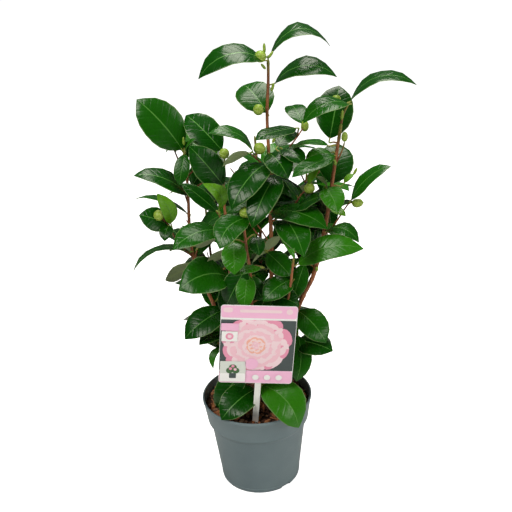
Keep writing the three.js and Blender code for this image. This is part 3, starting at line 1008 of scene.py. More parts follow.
@dataclass
class StemWork:
    """The stems, each its own piece with its bark, and all the twigs and leaf stalks, joined."""

    stems: list[Limb]
    twigs: list[Limb]
    stalks: list[tuple[np.ndarray, np.ndarray, np.ndarray]] = field(default_factory=list)
    wood: np.ndarray | None = None
    stem_sides: int = 14
    twig_sides: int = 8
    stalk_sides: int = 7
    stalk_drop: float = 2.0  # a stalk leaves the wood at least this far below its leaf, in mm
    stalk_radii: Pair = (1.1, 0.85)
    twig_radii: Pair = (1.15, 0.95)  # of the short twigs that end in one leaf
    crisp: float = 70.0  # edges sharper than this many degrees stay crisp

    def gather(self) -> None:
        """Collects the centre points of all the wood, once it has all grown."""
        self.wood = np.concatenate([limb.way() for limb in (*self.stems, *self.twigs)])

    def nearest(self, place: np.ndarray) -> np.ndarray:
        """Finds where a leaf's stalk leaves the wood: close by, and a little lower than the leaf.

        Args:
            place: the leaf's foot in mm.

        Returns:
            A centre point of the wood.
        """
        ways = self.wood
        drop = place[2] - ways[:, 2]
        away = np.linalg.norm(ways - place, axis=1) + 0.8 * np.clip(self.stalk_drop - drop, 0, None)
        return ways[int(np.argmin(away))]

    def join(self, leaf: Leaf) -> None:
        """Notes the stalk that carries a leaf, from the nearest wood to the leaf's foot."""
        foot, tip = leaf.ends()
        self.stalks.append((self.nearest(foot), foot, unit(tip - foot)))

    def build(self) -> None:
        """Makes the stems, the twigs and the stalks."""
        for stem in self.stems:
            joined = Joined(f"stem_{stem.name}")
            self.add_limb(joined, stem, STEM_BARK, self.stem_sides)
            settle(joined.build(self.crisp), "bark", f"{stem.name}_stem")
        twigs = Joined("twigs")
        for twig in self.twigs:
            self.add_limb(twigs, twig, TWIG_BARK, self.twig_sides)
        stalks = Joined("leaf_stalks")
        for start, end, heading in self.stalks:
            self.add_stalk(twigs, stalks, start, end, heading)
        settle(twigs.build(self.crisp), "bark")
        settle(stalks.build(self.crisp), "foliage")

    def add_limb(self, joined: Joined, limb: Limb, finish: Finish, sides: int) -> None:
        """Adds a limb's skin, lightly rippled all over, with how young its wood is marked along it.

        Args:
            joined: the mesh that takes it.
            limb: the limb.
            finish: its bark.
            sides: how many sides it has.
        """
        way = limb.way()
        points, faces = tube(way, limb.radii(way), sides)
        run = np.linspace(1, 0, len(way)) * np.linalg.norm(np.diff(way, axis=0), axis=1).sum()
        youth = np.clip(1 - run / limb.green, 0, 1) if limb.green else np.zeros(len(way))
        relief = np.sin(points @ BARK_WAVES[0]) * np.sin(points @ BARK_WAVES[1])
        centres = np.repeat(way, sides, axis=0)
        points = points + (points - centres) * BARK_RELIEF * relief[:, None]
        joined.add(points, faces, finish, youth=np.repeat(youth, sides).tolist())

    def add_stalk(self, twigs: Joined, stalks: Joined, start: np.ndarray, end: np.ndarray,
                  heading: np.ndarray) -> None:
        """Adds a leaf's stalk, and a twig before it where the wood is further off than a stalk.

        Args:
            twigs: the mesh that takes the twig.
            stalks: the mesh that takes the stalk.
            start: where it leaves the wood.
            end: the leaf's foot.
            heading: the way that the leaf points.
        """
        back = end - heading * STALK_LENGTH * 0.55 - np.array([0, 0, 1.2])
        bend = start + (back - start) * 0.5 + np.array([0, 0, 0.08 * np.linalg.norm(back - start)])
        way = smooth_way([start, bend, back, end + heading * 1.5], 2.0)
        run = run_along(way)
        split = int(np.searchsorted(run, max(0.0, run[-1] - STALK_LENGTH - 3)))
        sides, green = self.stalk_sides, way
        if split > 2:
            wood, green = way[:split + 1], way[split - 1:]
            youth = np.linspace(0, 0.6, len(wood)).repeat(sides).tolist()
            twigs.add(*tube(wood, np.linspace(*self.twig_radii, len(wood)), sides), TWIG_BARK,
                      youth=youth)
        stalks.add(*tube(green, np.linspace(*self.stalk_radii, len(green)), sides), LEAF_STALK)


# ---- Buds


@dataclass(frozen=True)
class Bud:
    """A bud: its sighted middle, its width and length, and the way it points."""

    place: Place
    wide: float
    long: float
    points_to: Place = (0, -0.2, 1)


FLOWER_BUDS = [
    Bud((25, 591, -6), 13.5, 14), Bud((20, 528, -6), 12, 13.5), Bud((113, 534, 2), 12, 14),
    Bud((123, 489, -18), 7.5, 13), Bud((75, 505, 14), 9.5, 14.5), Bud((-24, 476, -8), 12, 13),
    Bud((19, 480, -8), 14, 14.5), Bud((-111, 400, -2), 13, 13.5, (-0.5, -0.3, 0.8)),
    Bud((-3, 398, -52), 13, 13.5), Bud((79, 425, -16), 13, 13.5, (0.5, -0.3, 0.8)),
    Bud((139, 402, -20), 10.5, 14.5, (1, -0.2, 0.15)),
]

LEAF_BUDS = [
    Bud((30, 600, -3), 3.6, 13), Bud((37, 592, -4), 3.4, 11, (0.6, -0.2, 0.8)),
    Bud((28, 579, -5), 3.4, 10, (-0.5, -0.4, 0.7)), Bud((38, 554, -3), 3.6, 11, (0.3, -0.2, 1)),
    Bud((37, 490, -4), 3.6, 10, (0.4, -0.2, 1)), Bud((111, 457, -16), 3.6, 10, (-0.2, -0.4, 1)),
    Bud((136, 444, -10), 3.4, 10, (0.5, 0, 1)), Bud((86, 314, -27), 4.4, 9, (-0.2, -0.6, 1)),
    Bud((120, 516, -11), 3.8, 12, (0.1, 0, 1)), Bud((-72, 494, 16), 3.6, 11, (0, 0, 1)),
    Bud((57, 342, -47), 3.6, 12, (0.1, 0, 1)), Bud((-64, 364, 6), 3.4, 10, (0.2, 0, 1)),
]


def bud_scales(scales: int, rows: int = 6,
               columns: int = 6) -> list[tuple[np.ndarray, Faces, list[Finish]]]:
    """Works out a bud of unit width and length, as overlapping scales, each set further up and in.

    Args:
        scales: how many scales it has.
        rows: rows of faces in a scale.
        columns: columns of faces in a scale.

    Returns:
        The points, faces and finishes of each scale, its foot at z -0.5 and its tip at z 0.5.
    """
    made = []
    for number in range(scales):
        level = number / max(1, scales - 1)
        around = number * GOLDEN_ANGLE
        lowest, highest = -0.5, -0.12 + 0.66 * level
        swell = 1.06 - 0.1 * level
        points = []
        for row in range(rows + 1):
            up = row / rows
            z = lowest + (highest - lowest) * up
            reach = 0.5 * math.sqrt(max(0.0, 1 - (2 * min(0.5, z)) ** 2)) ** 0.85
            spread = (1.25 + 0.35 * (1 - level)) * math.cos(0.5 * math.pi * up**2.2) ** 0.6 + 0.02
            for column in range(columns + 1):
                angle = around + spread * (2 * column / columns - 1)
                lip = 1 + 0.05 * up**3
                out = reach * swell * lip
                points.append((out * math.cos(angle), out * math.sin(angle), z))
        faces, finishes = [], []
        for row in range(rows):
            for column in range(columns):
                a = row * (columns + 1) + column
                faces.append((a, a + 1, a + columns + 2, a + columns + 1))
                edge = row == rows - 1 or column in (0, columns - 1) and row > rows // 2
                finishes.append(BUD_EDGE if edge else BUD_SCALE)
        made.append((np.array(points), faces, finishes))
    return made


@dataclass
class BudWork:
    """All the buds: round flower buds of overlapping scales, and slim leaf buds."""

    flower_buds: list[Bud]
    leaf_buds: list[Bud]
    flower_scales: int = 8
    leaf_scales: int = 4
    core_rings: int = 9
    core_sides: int = 12
    core_size: float = 0.985  # of the bud's own
    scale_inside: float = 0.95  # of its outside

    def build(self) -> None:
        """Makes the two joined meshes."""
        kinds = (("flower_buds", self.flower_buds, self.flower_scales),
                 ("leaf_buds", self.leaf_buds, self.leaf_scales))
        for name, buds, scales in kinds:
            joined = Joined(name)
            for bud in buds:
                self.add_bud(joined, bud, scales)
            settle(joined.build(45), "foliage")

    def add_bud(self, joined: Joined, bud: Bud, scales: int) -> None:
        """Adds one bud: a closed core and its scales.

        Args:
            joined: the mesh that takes it.
            bud: the bud.
            scales: how many scales it has.
        """
        up = unit(np.array(bud.points_to, dtype=float))
        across = unit(np.cross(up, [0.3, 0.9, 0.1]))
        turn = np.stack([across, np.cross(up, across), up])
        size = np.array([bud.wide, bud.wide, bud.long])
        middle = sighted(bud.place)
        heights = np.linspace(-0.5, 0.5, self.core_rings)
        radii = 0.5 * np.sqrt(np.clip(1 - (2 * heights) ** 2, 0.004, 1)) ** 0.85 * self.core_size
        upright = np.stack([0 * heights, 0 * heights, heights], axis=1)
        core, faces = tube(upright, radii, self.core_sides)
        joined.add((core * size) @ turn + middle, faces, BUD_SCALE)
        for points, scale_faces, finishes in bud_scales(scales):
            inner = points * np.array([self.scale_inside, self.scale_inside, 1.0])
            count = len(points)
            closed = scale_faces + [tuple(count + i for i in reversed(face)) for face in scale_faces]
            closed += self.rim(scale_faces, count)
            kinds = finishes * 2 + [BUD_EDGE] * (len(closed) - 2 * len(scale_faces))
            joined.add((np.concatenate([points, inner]) * size) @ turn + middle, closed, kinds)

    def rim(self, faces: Faces, count: int) -> Faces:
        """Closes a sheet to its copy along its open edge.

        Args:
            faces: the sheet's faces.
            count: how many points it has; its copy's points follow them.

        Returns:
            The faces between the two.
        """
        edges = {edge for face in faces for edge in zip(face, face[1:] + face[:1])}
        return [(b, a, a + count, b + count) for a, b in sorted(edges) if (b, a) not in edges]


# ---- Growing the rest of the crown

# Where sky shows through the crown: sighted x and z of each gap's middle, and its two half sizes.
SKY_GAPS = [
    (44, 345, 9, 10), (20, 330, 5, 4), (61, 442, 7, 9), (-62, 413, 10, 15), (-42, 349, 10, 10),
    (120, 381, 15, 9), (-90, 394, 7, 13), (9, 466, 5, 4), (-27, 453, 6, 6), (-19, 490, 10, 10),
    (80, 470, 8, 7), (141, 452, 8, 9),
]


@dataclass
class CrownView:
    """The crown as the eye sees it: what the led leaves cover, and how near they are."""

    cell: float = 2.0
    low: Pair = (-180.0, 20.0)
    high: Pair = (230.0, 660.0)
    heal: int = 2  # gaps between led leaves up to twice this many cells are closed from behind
    rows: int = 36  # of points on a leaf that mark what it covers
    card_x: tuple[int, int] = (-46, 44)  # the tag's card, in mm
    card_z: tuple[int, int] = (187, 300)
    card_y: float = -60.0
    behind_leaf: float = 5.0  # how far behind a led leaf the crown goes on
    behind_gap: float = 12.0  # how far behind the axis it stays where no led leaf is in front
    nearest: np.ndarray | None = None
    open: np.ndarray | None = None

    def numbers(self, seen: np.ndarray) -> tuple[np.ndarray, np.ndarray]:
        """Returns the cell numbers of sighted points."""
        cells = ((seen[:, :2] - self.low) / self.cell).astype(int)
        return tuple(np.clip(cells, 0, np.array(self.nearest.shape) - 1).T)

    def take(self, leaves: list[Leaf]) -> None:
        """Marks what the led leaves and the tag cover, and opens the sky gaps.

        Args:
            leaves: the led leaves.
        """
        size = [round((b - a) / self.cell) for a, b in zip(self.low, self.high)]
        self.nearest = np.full(size, np.inf)
        for leaf in leaves:
            seen = seen_from_eye(dense_points(leaf, self.rows))
            x, z = self.numbers(seen)
            np.minimum.at(self.nearest, (x, z), seen[:, 2])
        columns, rows = range(*self.card_x), range(*self.card_z)
        card = np.array([(x, self.card_y, z) for x in columns for z in rows])
        self.nearest[self.numbers(seen_from_eye(card))] = self.card_y
        covered = spread(np.isfinite(self.nearest), self.heal + 1)
        self.open = ~spread(~covered, self.heal)
        xs = self.low[0] + self.cell * (np.arange(size[0]) + 0.5)[:, None]
        zs = self.low[1] + self.cell * (np.arange(size[1]) + 0.5)[None, :]
        for x, z, wide, high in SKY_GAPS:
            self.open &= ((xs - x) / wide) ** 2 + ((zs - z) / high) ** 2 > 1

    def hides(self, points: np.ndarray, share: float = 0.93) -> bool:
        """Tells whether points in mm lie in the crown and behind its led leaves.

        Args:
            points: the points.
            share: how much of them has to.

        Returns:
            True if enough of them do.
        """
        seen = seen_from_eye(points)
        x, z = self.numbers(seen)
        near = self.nearest[x, z]
        limit = np.where(np.isfinite(near), near + self.behind_leaf, self.behind_gap)
        behind = seen[:, 2] > limit
        return bool(np.mean(self.open[x, z] & behind) >= share)


def spread(marks: np.ndarray, reach: int) -> np.ndarray:
    """Widens the marked cells of a grid all round.

    Args:
        marks: the grid, True where marked.
        reach: how far, in cells.

    Returns:
        The grid with more of its cells marked.
    """
    wide = marks.copy()
    for shift in range(1, reach + 1):
        wide[shift:] |= marks[:-shift]
        wide[:-shift] |= marks[shift:]
    tall = wide.copy()
    for shift in range(1, reach + 1):
        tall[:, shift:] |= wide[:, :-shift]
        tall[:, :-shift] |= wide[:, shift:]
    return tall


def dense_points(leaf: Leaf, count: int) -> np.ndarray:
    """Spreads points evenly over a leaf's upper face.

    Args:
        leaf: the leaf.
        count: how many rows of points; there are half as many columns.

    Returns:
        The points in mm.
    """
    face, _ = leaf_face(leaf, 0.0, MEASURING_GRID)
    rows = np.linspace(0, face.shape[0] - 1.001, count)
    columns = np.linspace(0, face.shape[1] - 1.001, count // 2)
    r, c = rows.astype(int), columns.astype(int)
    fr, fc = (rows - r)[:, None, None], (columns - c)[None, :, None]
    low = face[r][:, c] * (1 - fc) + face[r][:, c + 1] * fc
    high = face[r + 1][:, c] * (1 - fc) + face[r + 1][:, c + 1] * fc
    return (low * (1 - fr) + high * fr).reshape(-1, 3)


@dataclass
class Growth:
    """Grows the leaves behind the led ones: whorls up the stems, and side twigs that bear more."""

    view: CrownView
    work: StemWork
    seed: int = 7
    rounds: int = 7
    node_spacing: float = 17.0
    lowest: float = 150.0  # no grown leaf reaches below this
    first_node: float = 175.0
    apart: float = 17.0
    rows: int = 14  # of points on a leaf that measure it
    stem_turn: float = 2.1  # radians from one stem's first leaf to the next stem's
    round_turn: float = 0.9
    leaf_rise: Pair = (6, 24)  # mean and spread of its climb, in degrees
    rise_range: Pair = (-50, 52)
    leaf_stray: float = 0.35  # radians
    leaf_length: Pair = (56, 80)
    leaf_shape: Pair = (0.48, 0.56)  # width to length
    leaf_lift: Pair = (3, 14)
    leaf_fold: Pair = (0.12, 0.4)
    leaf_bow: float = 5.0
    leaf_tilt: float = 0.3
    outward_tilt: float = 0.4
    whorl: int = 4  # leaves at the end of a side twig
    whorl_gap: float = 0.12  # as a share of the twig
    twig_rise: Pair = (30, 55)  # degrees
    twig_length: Pair = (32, 70)
    twig_sag: float = 0.07
    twig_thick: Pair = (2.4, 1.6)
    twig_hidden: float = 0.97
    tag_top: float = 312.0  # the room that is kept free round the tag
    tag_half: float = 60.0
    tag_back: float = -48.0
    leaves: list[Leaf] = field(default_factory=list)
    middles: list[np.ndarray] = field(default_factory=list)

    def grow(self) -> None:
        """Runs the rule over every stem for a set number of rounds."""
        chance = random.Random(self.seed)
        for round_number in range(self.rounds):
            for number, stem in enumerate(self.work.stems):
                way = stem.way(self.node_spacing)
                for node, place in enumerate(way[:-1]):
                    if place[2] < self.first_node:
                        continue
                    angle = (GOLDEN_ANGLE * node + self.stem_turn * number
                             + self.round_turn * round_number)
                    attempt = self.try_twig if round_number % 2 else self.try_leaf
                    attempt(place, angle, chance)

    def try_leaf(self, place: np.ndarray, angle: float, chance: random.Random) -> bool:
        """Grows one leaf at a node if there is room for it.

        Args:
            place: the node, in mm.
            angle: the way that the leaf heads, seen from above.
            chance: the seeded source of variety.

        Returns:
            True if it grew.
        """
        rise = math.radians(np.clip(chance.gauss(*self.leaf_rise), *self.rise_range))
        angle += chance.uniform(-self.leaf_stray, self.leaf_stray)
        flat = np.array([math.cos(angle), math.sin(angle), 0.0])
        heading = flat * math.cos(rise) + np.array([0, 0, math.sin(rise)])
        length = chance.uniform(*self.leaf_length)
        foot = place + heading * STALK_LENGTH
        tilt = np.array([chance.uniform(-self.leaf_tilt, self.leaf_tilt) for _ in range(2)] + [0.0])
        tone = chance.choice([Tone.DEEP, Tone.DEEP, Tone.FULL, Tone.FULL, Tone.FRESH])
        leaf = GrownLeaf(
            (0, 0, 0), (0, 0, 0), length * chance.uniform(*self.leaf_shape),
            lift=chance.uniform(*self.leaf_lift), tone=tone, start=tuple(foot),
            end=tuple(foot + heading * length), fold=chance.uniform(*self.leaf_fold),
            bow=chance.uniform(-self.leaf_bow, self.leaf_bow),
            face=tuple(np.array([0, 0, 1.0]) + self.outward_tilt * flat + tilt))
        points = dense_points(leaf, self.rows)
        if not (self.has_room(points) and self.view.hides(points)):
            return False
        self.leaves.append(leaf)
        self.middles.append(points.mean(axis=0))
        return True

    def has_room(self, points: np.ndarray) -> bool:
        """Tells whether a leaf keeps inside the plant's box and clear of its neighbours and the tag.

        Args:
            points: its points in mm.

        Returns:
            True if it does.
        """
        low, high = (np.array(corner) / MM for corner in CAD_BOX)
        inside = (points > low).all() and (points < high).all()
        clear_of_pot = points[:, 2].min() > self.lowest
        x, y, z = points.T
        near_tag = (z < self.tag_top) & (abs(x) < self.tag_half) & (y < self.tag_back)
        middle = points.mean(axis=0)
        spaced = all(np.linalg.norm(middle - other) > self.apart for other in self.middles)
        return bool(inside and clear_of_pot and not near_tag.any() and spaced)

    def try_twig(self, place: np.ndarray, angle: float, chance: random.Random) -> None:
        """Grows a side twig with a whorl of leaves at its end, if any leaf finds room.

        Args:
            place: where it leaves the stem, in mm.
            angle: the way that it heads, seen from above.
            chance: the seeded source of variety.
        """
        rise = math.radians(chance.uniform(*self.twig_rise))
        reach = chance.uniform(*self.twig_length)
        flat = np.array([math.cos(angle), math.sin(angle), 0.0])
        end = place + reach * (flat * math.cos(rise) + np.array([0, 0, math.sin(rise)]))
        sagging = (place + end) / 2 + np.array([0, 0, -self.twig_sag * reach])
        way = smooth_way([place, sagging, end], 4.0)
        if not self.view.hides(way, self.twig_hidden) or not self.has_room(way[-2:]):
            return
        grown = [self.try_leaf(end - (end - place) * self.whorl_gap * k,
                               angle + 0.8 + GOLDEN_ANGLE * k, chance) for k in range(self.whorl)]
        if any(grown):
            self.work.twigs.append(GrownTwig([], self.twig_thick, points=way))


@dataclass
class GrownTwig(Limb):
    """A twig set by its true points in mm, as the branching rule gives them."""

    points: np.ndarray | None = None

    def way(self, step: float = 3.0) -> np.ndarray:
        """Returns its centre points in mm."""
        return self.points


@dataclass
class Foliage:
    """All the leaves: the led ones, the grown ones and their stalks."""

    work: StemWork
    upper: float = 400.0  # where the back's upper part starts and its low part ends, in mm
    low: float = 260.0
    left: float = 10.0

    def build(self) -> None:
        """Grows the crown and makes each part's joined mesh."""
        view = CrownView()
        led = [leaf for leaves in LED_LEAVES.values() for leaf in leaves]
        view.take(led)
        growth = Growth(view, self.work)
        growth.middles = [dense_points(leaf, growth.rows).mean(axis=0) for leaf in led]
        growth.grow()
        LOG.info("%d leaves led by hand, %d grown", len(led), len(growth.leaves))
        self.work.gather()
        parts = {name: list(leaves) for name, leaves in LED_LEAVES.items()}
        for leaf in growth.leaves:
            parts.setdefault(self.part_of(leaf), []).append(leaf)
        for name, leaves in parts.items():
            for leaf in leaves:
                self.work.join(leaf)
            masses = [f"{mass}_foliage" for mass in STANDS_FOR[name].split()]
            settle(LeafMesh(name, leaves).build(), "foliage", *masses)

    def part_of(self, leaf: Leaf) -> str:
        """Finds the mesh that takes a grown leaf.

        Args:
            leaf: the leaf.

        Returns:
            The mesh's name.
        """
        x, _, z = (leaf.ends()[0] + leaf.ends()[1]) / 2
        if z > self.upper:
            return "leaves_back_upper"
        if z < self.low:
            return "leaves_back_low"
        return "leaves_back_left" if x < self.left else "leaves_back_right"


# ---- Pot and compost


def turned_body(name: str, profile: list[Pair], sides: int) -> Piece:
    """Draws a body up from a disc, one ring after another, as on a wheel.

    Args:
        name: the piece's name.
        profile: radius and height of each ring in mm, from the underside, over the lip and in again.
        sides: how many sides it has.

    Returns:
        The object, closed by its last ring's disc.
    """
    radius, height = profile[0]
    piece = primitive(name, bpy.ops.mesh.primitive_circle_add, vertices=sides, radius=radius * MM,
                      fill_type="NGON", location=(0, 0, height * MM))
    bpy.ops.object.transform_apply(location=True, rotation=False, scale=False)
    bpy.ops.object.mode_set(mode="EDIT")
    bpy.ops.mesh.select_mode(type="FACE")
    bpy.ops.mesh.select_all(action="SELECT")
    for (old_radius, old_height), (radius, height) in zip(profile, profile[1:]):
        rise = (0, 0, (height - old_height) * MM)
        bpy.ops.mesh.extrude_region_move(TRANSFORM_OT_translate={"value": rise})
        ratio = radius / old_radius
        bpy.ops.transform.resize(value=(ratio, ratio, 1), center_override=(0, 0, height * MM))
    outward()
    return piece


@dataclass
class NurseryPot:
    """A thin moulded pot: heel, tapered wall, shoulder, rim band with a rolled lip, drain slots."""

    rim: float = 75.0
    height: float = 130.0
    heel: float = 55.0
    wall: float = 1.5
    band_low: float = 96.0
    band_radius: float = 70.0
    neck_radius: float = 65.5
    slot_angles: tuple[float, ...] = (-52.0, 68.0, 188.0)
    slot_size: Place = (9.0, 15.0, 11.0)
    slot_corner: float = 2.0
    sides: int = 120

    def build(self) -> None:
        """Makes the pot and cuts its drain slots."""
        heel, neck, band_out, rim = self.heel, self.neck_radius, self.band_radius, self.rim
        wall, top, low = self.wall, self.height, self.band_low
        # each ring of the moulding by its radius and height: up the outside, then down the inside
        outer = [
            (heel - 2.6, 0), (heel - 1.2, 0.5), (heel - 0.1, 2.2), (heel + 0.5, 6.5),
            (heel + 0.1, 7.0), (heel + 0.6, 11), (neck - 0.2, low - 6.5), (neck + 0.3, low - 5.2),
            (band_out - 1.0, low - 1.2), (band_out, low), (band_out + 0.3, low + 2),
            (rim - 0.5, top - 4.2), (rim + 0.2, top - 3.4), (rim + 0.3, top - 1.0),
            (rim - 0.2, top - 0.2), (rim - 0.9, top),
        ]
        inner = [
            (rim - wall - 0.4, top - 0.3), (rim - wall - 0.7, top - 3), (band_out - wall, low),
            (neck - wall, low - 5), (heel - wall, 4), (heel - 3, 2.4),
        ]
        pot = turned_body("nursery_pot", outer + inner, self.sides)
        for angle in self.slot_angles:
            self.cut_slot(pot, math.radians(angle))
        pot.data.materials.append(POT_PLASTIC.build())
        smooth(pot, 34)
        settle(pot, "pot", "pot")

    def cut_slot(self, pot: Piece, angle: float) -> None:
        """Cuts one drain slot through the heel.

        Args:
            pot: the pot.
            angle: its place round the heel.
        """
        cutter = primitive("drain_slot", bpy.ops.mesh.primitive_cube_add, size=1, location=(0, 0, 0))
        bpy.ops.object.mode_set(mode="EDIT")
        bpy.ops.transform.resize(value=[side * MM for side in self.slot_size])
        bpy.ops.mesh.bevel(offset=self.slot_corner * MM, segments=3)
        bpy.ops.object.mode_set(mode="OBJECT")
        place = Matrix.Rotation(angle, 4, "Z") @ Matrix.Translation(((self.heel + 1) * MM, 0, 0))
        cutter.data.transform(place)
        only(pot)
        bpy.ops.object.modifier_add(type="BOOLEAN")
        pot.modifiers[-1].object = cutter
        pot.modifiers[-1].operation = "DIFFERENCE"
        bpy.ops.object.modifier_apply(modifier=pot.modifiers[-1].name)
        bpy.data.objects.remove(cutter)


@dataclass
class CompostFill:
    """The compost in the pot, uneven on top, under a layer of bark chips."""

    top: float = 118.5
    edge: float = 116.0
    chips: int = 520
    seed: int = 3
    chip_sizes: Pair = (9.0, 20.0)
    chip_shape: Pair = (0.35, 0.75)  # width to length
    chip_thick: Pair = (1.2, 3.6)
    chip_reach: float = 69.5  # how far out a chip's middle may lie
    inside: float = 70.5  # the pot's inner radius at the compost
    chip_tilt: float = 0.28
    chip_heap: float = 2.6  # how much higher the last chip lies than the first

    def surface(self, x: float, y: float) -> float:
        """Returns the height of the compost at a place, in mm."""
        reach = math.hypot(x, y) / 72.0
        hump = math.sin(x * 0.21 + 1) * math.cos(y * 0.17) + 0.6 * math.sin(x * 0.47 - y * 0.38)
        return self.top - (self.top - self.edge) * reach**2 + 1.1 * hump * (1 - reach**4)

    def build(self) -> None:
        """Makes the fill and the chips."""
        # each ring by its radius and height, close inside the pot's wall
        rings = [(52, 2.8), (53.1, 4), (63.5, 91), (68.2, 96.4), (70.9, self.edge)]
        rings += [(radius, self.edge) for radius in range(66, 3, -4)]
        fill = turned_body("compost_fill", rings, 72)
        for vertex in fill.data.vertices:
            x, y, z = vertex.co / MM
            if z > self.edge - 1:
                vertex.co.z = self.surface(x, y) * MM
        fill.data.materials.append(COMPOST.build())
        smooth(fill, 40)
        settle(fill, "compost", "compost")
        chance = random.Random(self.seed)
        chips = Joined("bark_chips")
        for number in range(self.chips):
            reach = self.chip_reach * math.sqrt(chance.random())
            angle = chance.uniform(0, 2 * math.pi)
            self.add_chip(chips, reach * math.cos(angle), reach * math.sin(angle), number, chance)
        settle(chips.build(25), "compost")

    def add_chip(self, joined: Joined, x: float, y: float, number: int,
                 chance: random.Random) -> None:
        """Adds one chip: a flat, broken, many-sided flake.

        Args:
            joined: the mesh that takes it.
            x: its place to the right, in mm.
            y: its place to the back, in mm.
            number: its number, which lifts later chips a little.
            chance: the seeded source of variety.
        """
        long = chance.uniform(*self.chip_sizes) * chance.uniform(0.6, 1)
        wide, thick = long * chance.uniform(*self.chip_shape), chance.uniform(*self.chip_thick)
        sides = chance.choice([5, 6, 7])
        points = []
        for level in (-0.5, 0.5):
            for side in range(sides):
                angle = 2 * math.pi * side / sides + chance.uniform(-0.25, 0.25)
                reach = chance.uniform(0.36, 0.52) * (0.85 if level > 0 else 1)
                points.append((long * reach * math.cos(angle), wide * reach * math.sin(angle),
                               thick * level + chance.uniform(-0.3, 0.3)))
        ends = [tuple(range(sides))[::-1], tuple(range(sides, 2 * sides))]
        faces = ends + band(0, sides, sides)
        turn = Matrix.Rotation(chance.uniform(0, 2 * math.pi), 3, "Z")
        for axis in ("X", "Y"):
            turn = turn @ Matrix.Rotation(chance.gauss(0, self.chip_tilt), 3, axis)
        lift = self.surface(x, y) + 1.0 + self.chip_heap * number / self.chips
        room = self.inside / max(self.inside, math.hypot(x, y) + long * 0.5)
        placed = np.array(points) @ np.array(turn).T + np.array([x * room, y * room, lift])
        kind = chance.choice([CHIP_RED, CHIP_RED, CHIP_DARK, CHIP_DARK, CHIP_PALE])
        joined.add(placed, faces, kind)


# ---- Tag


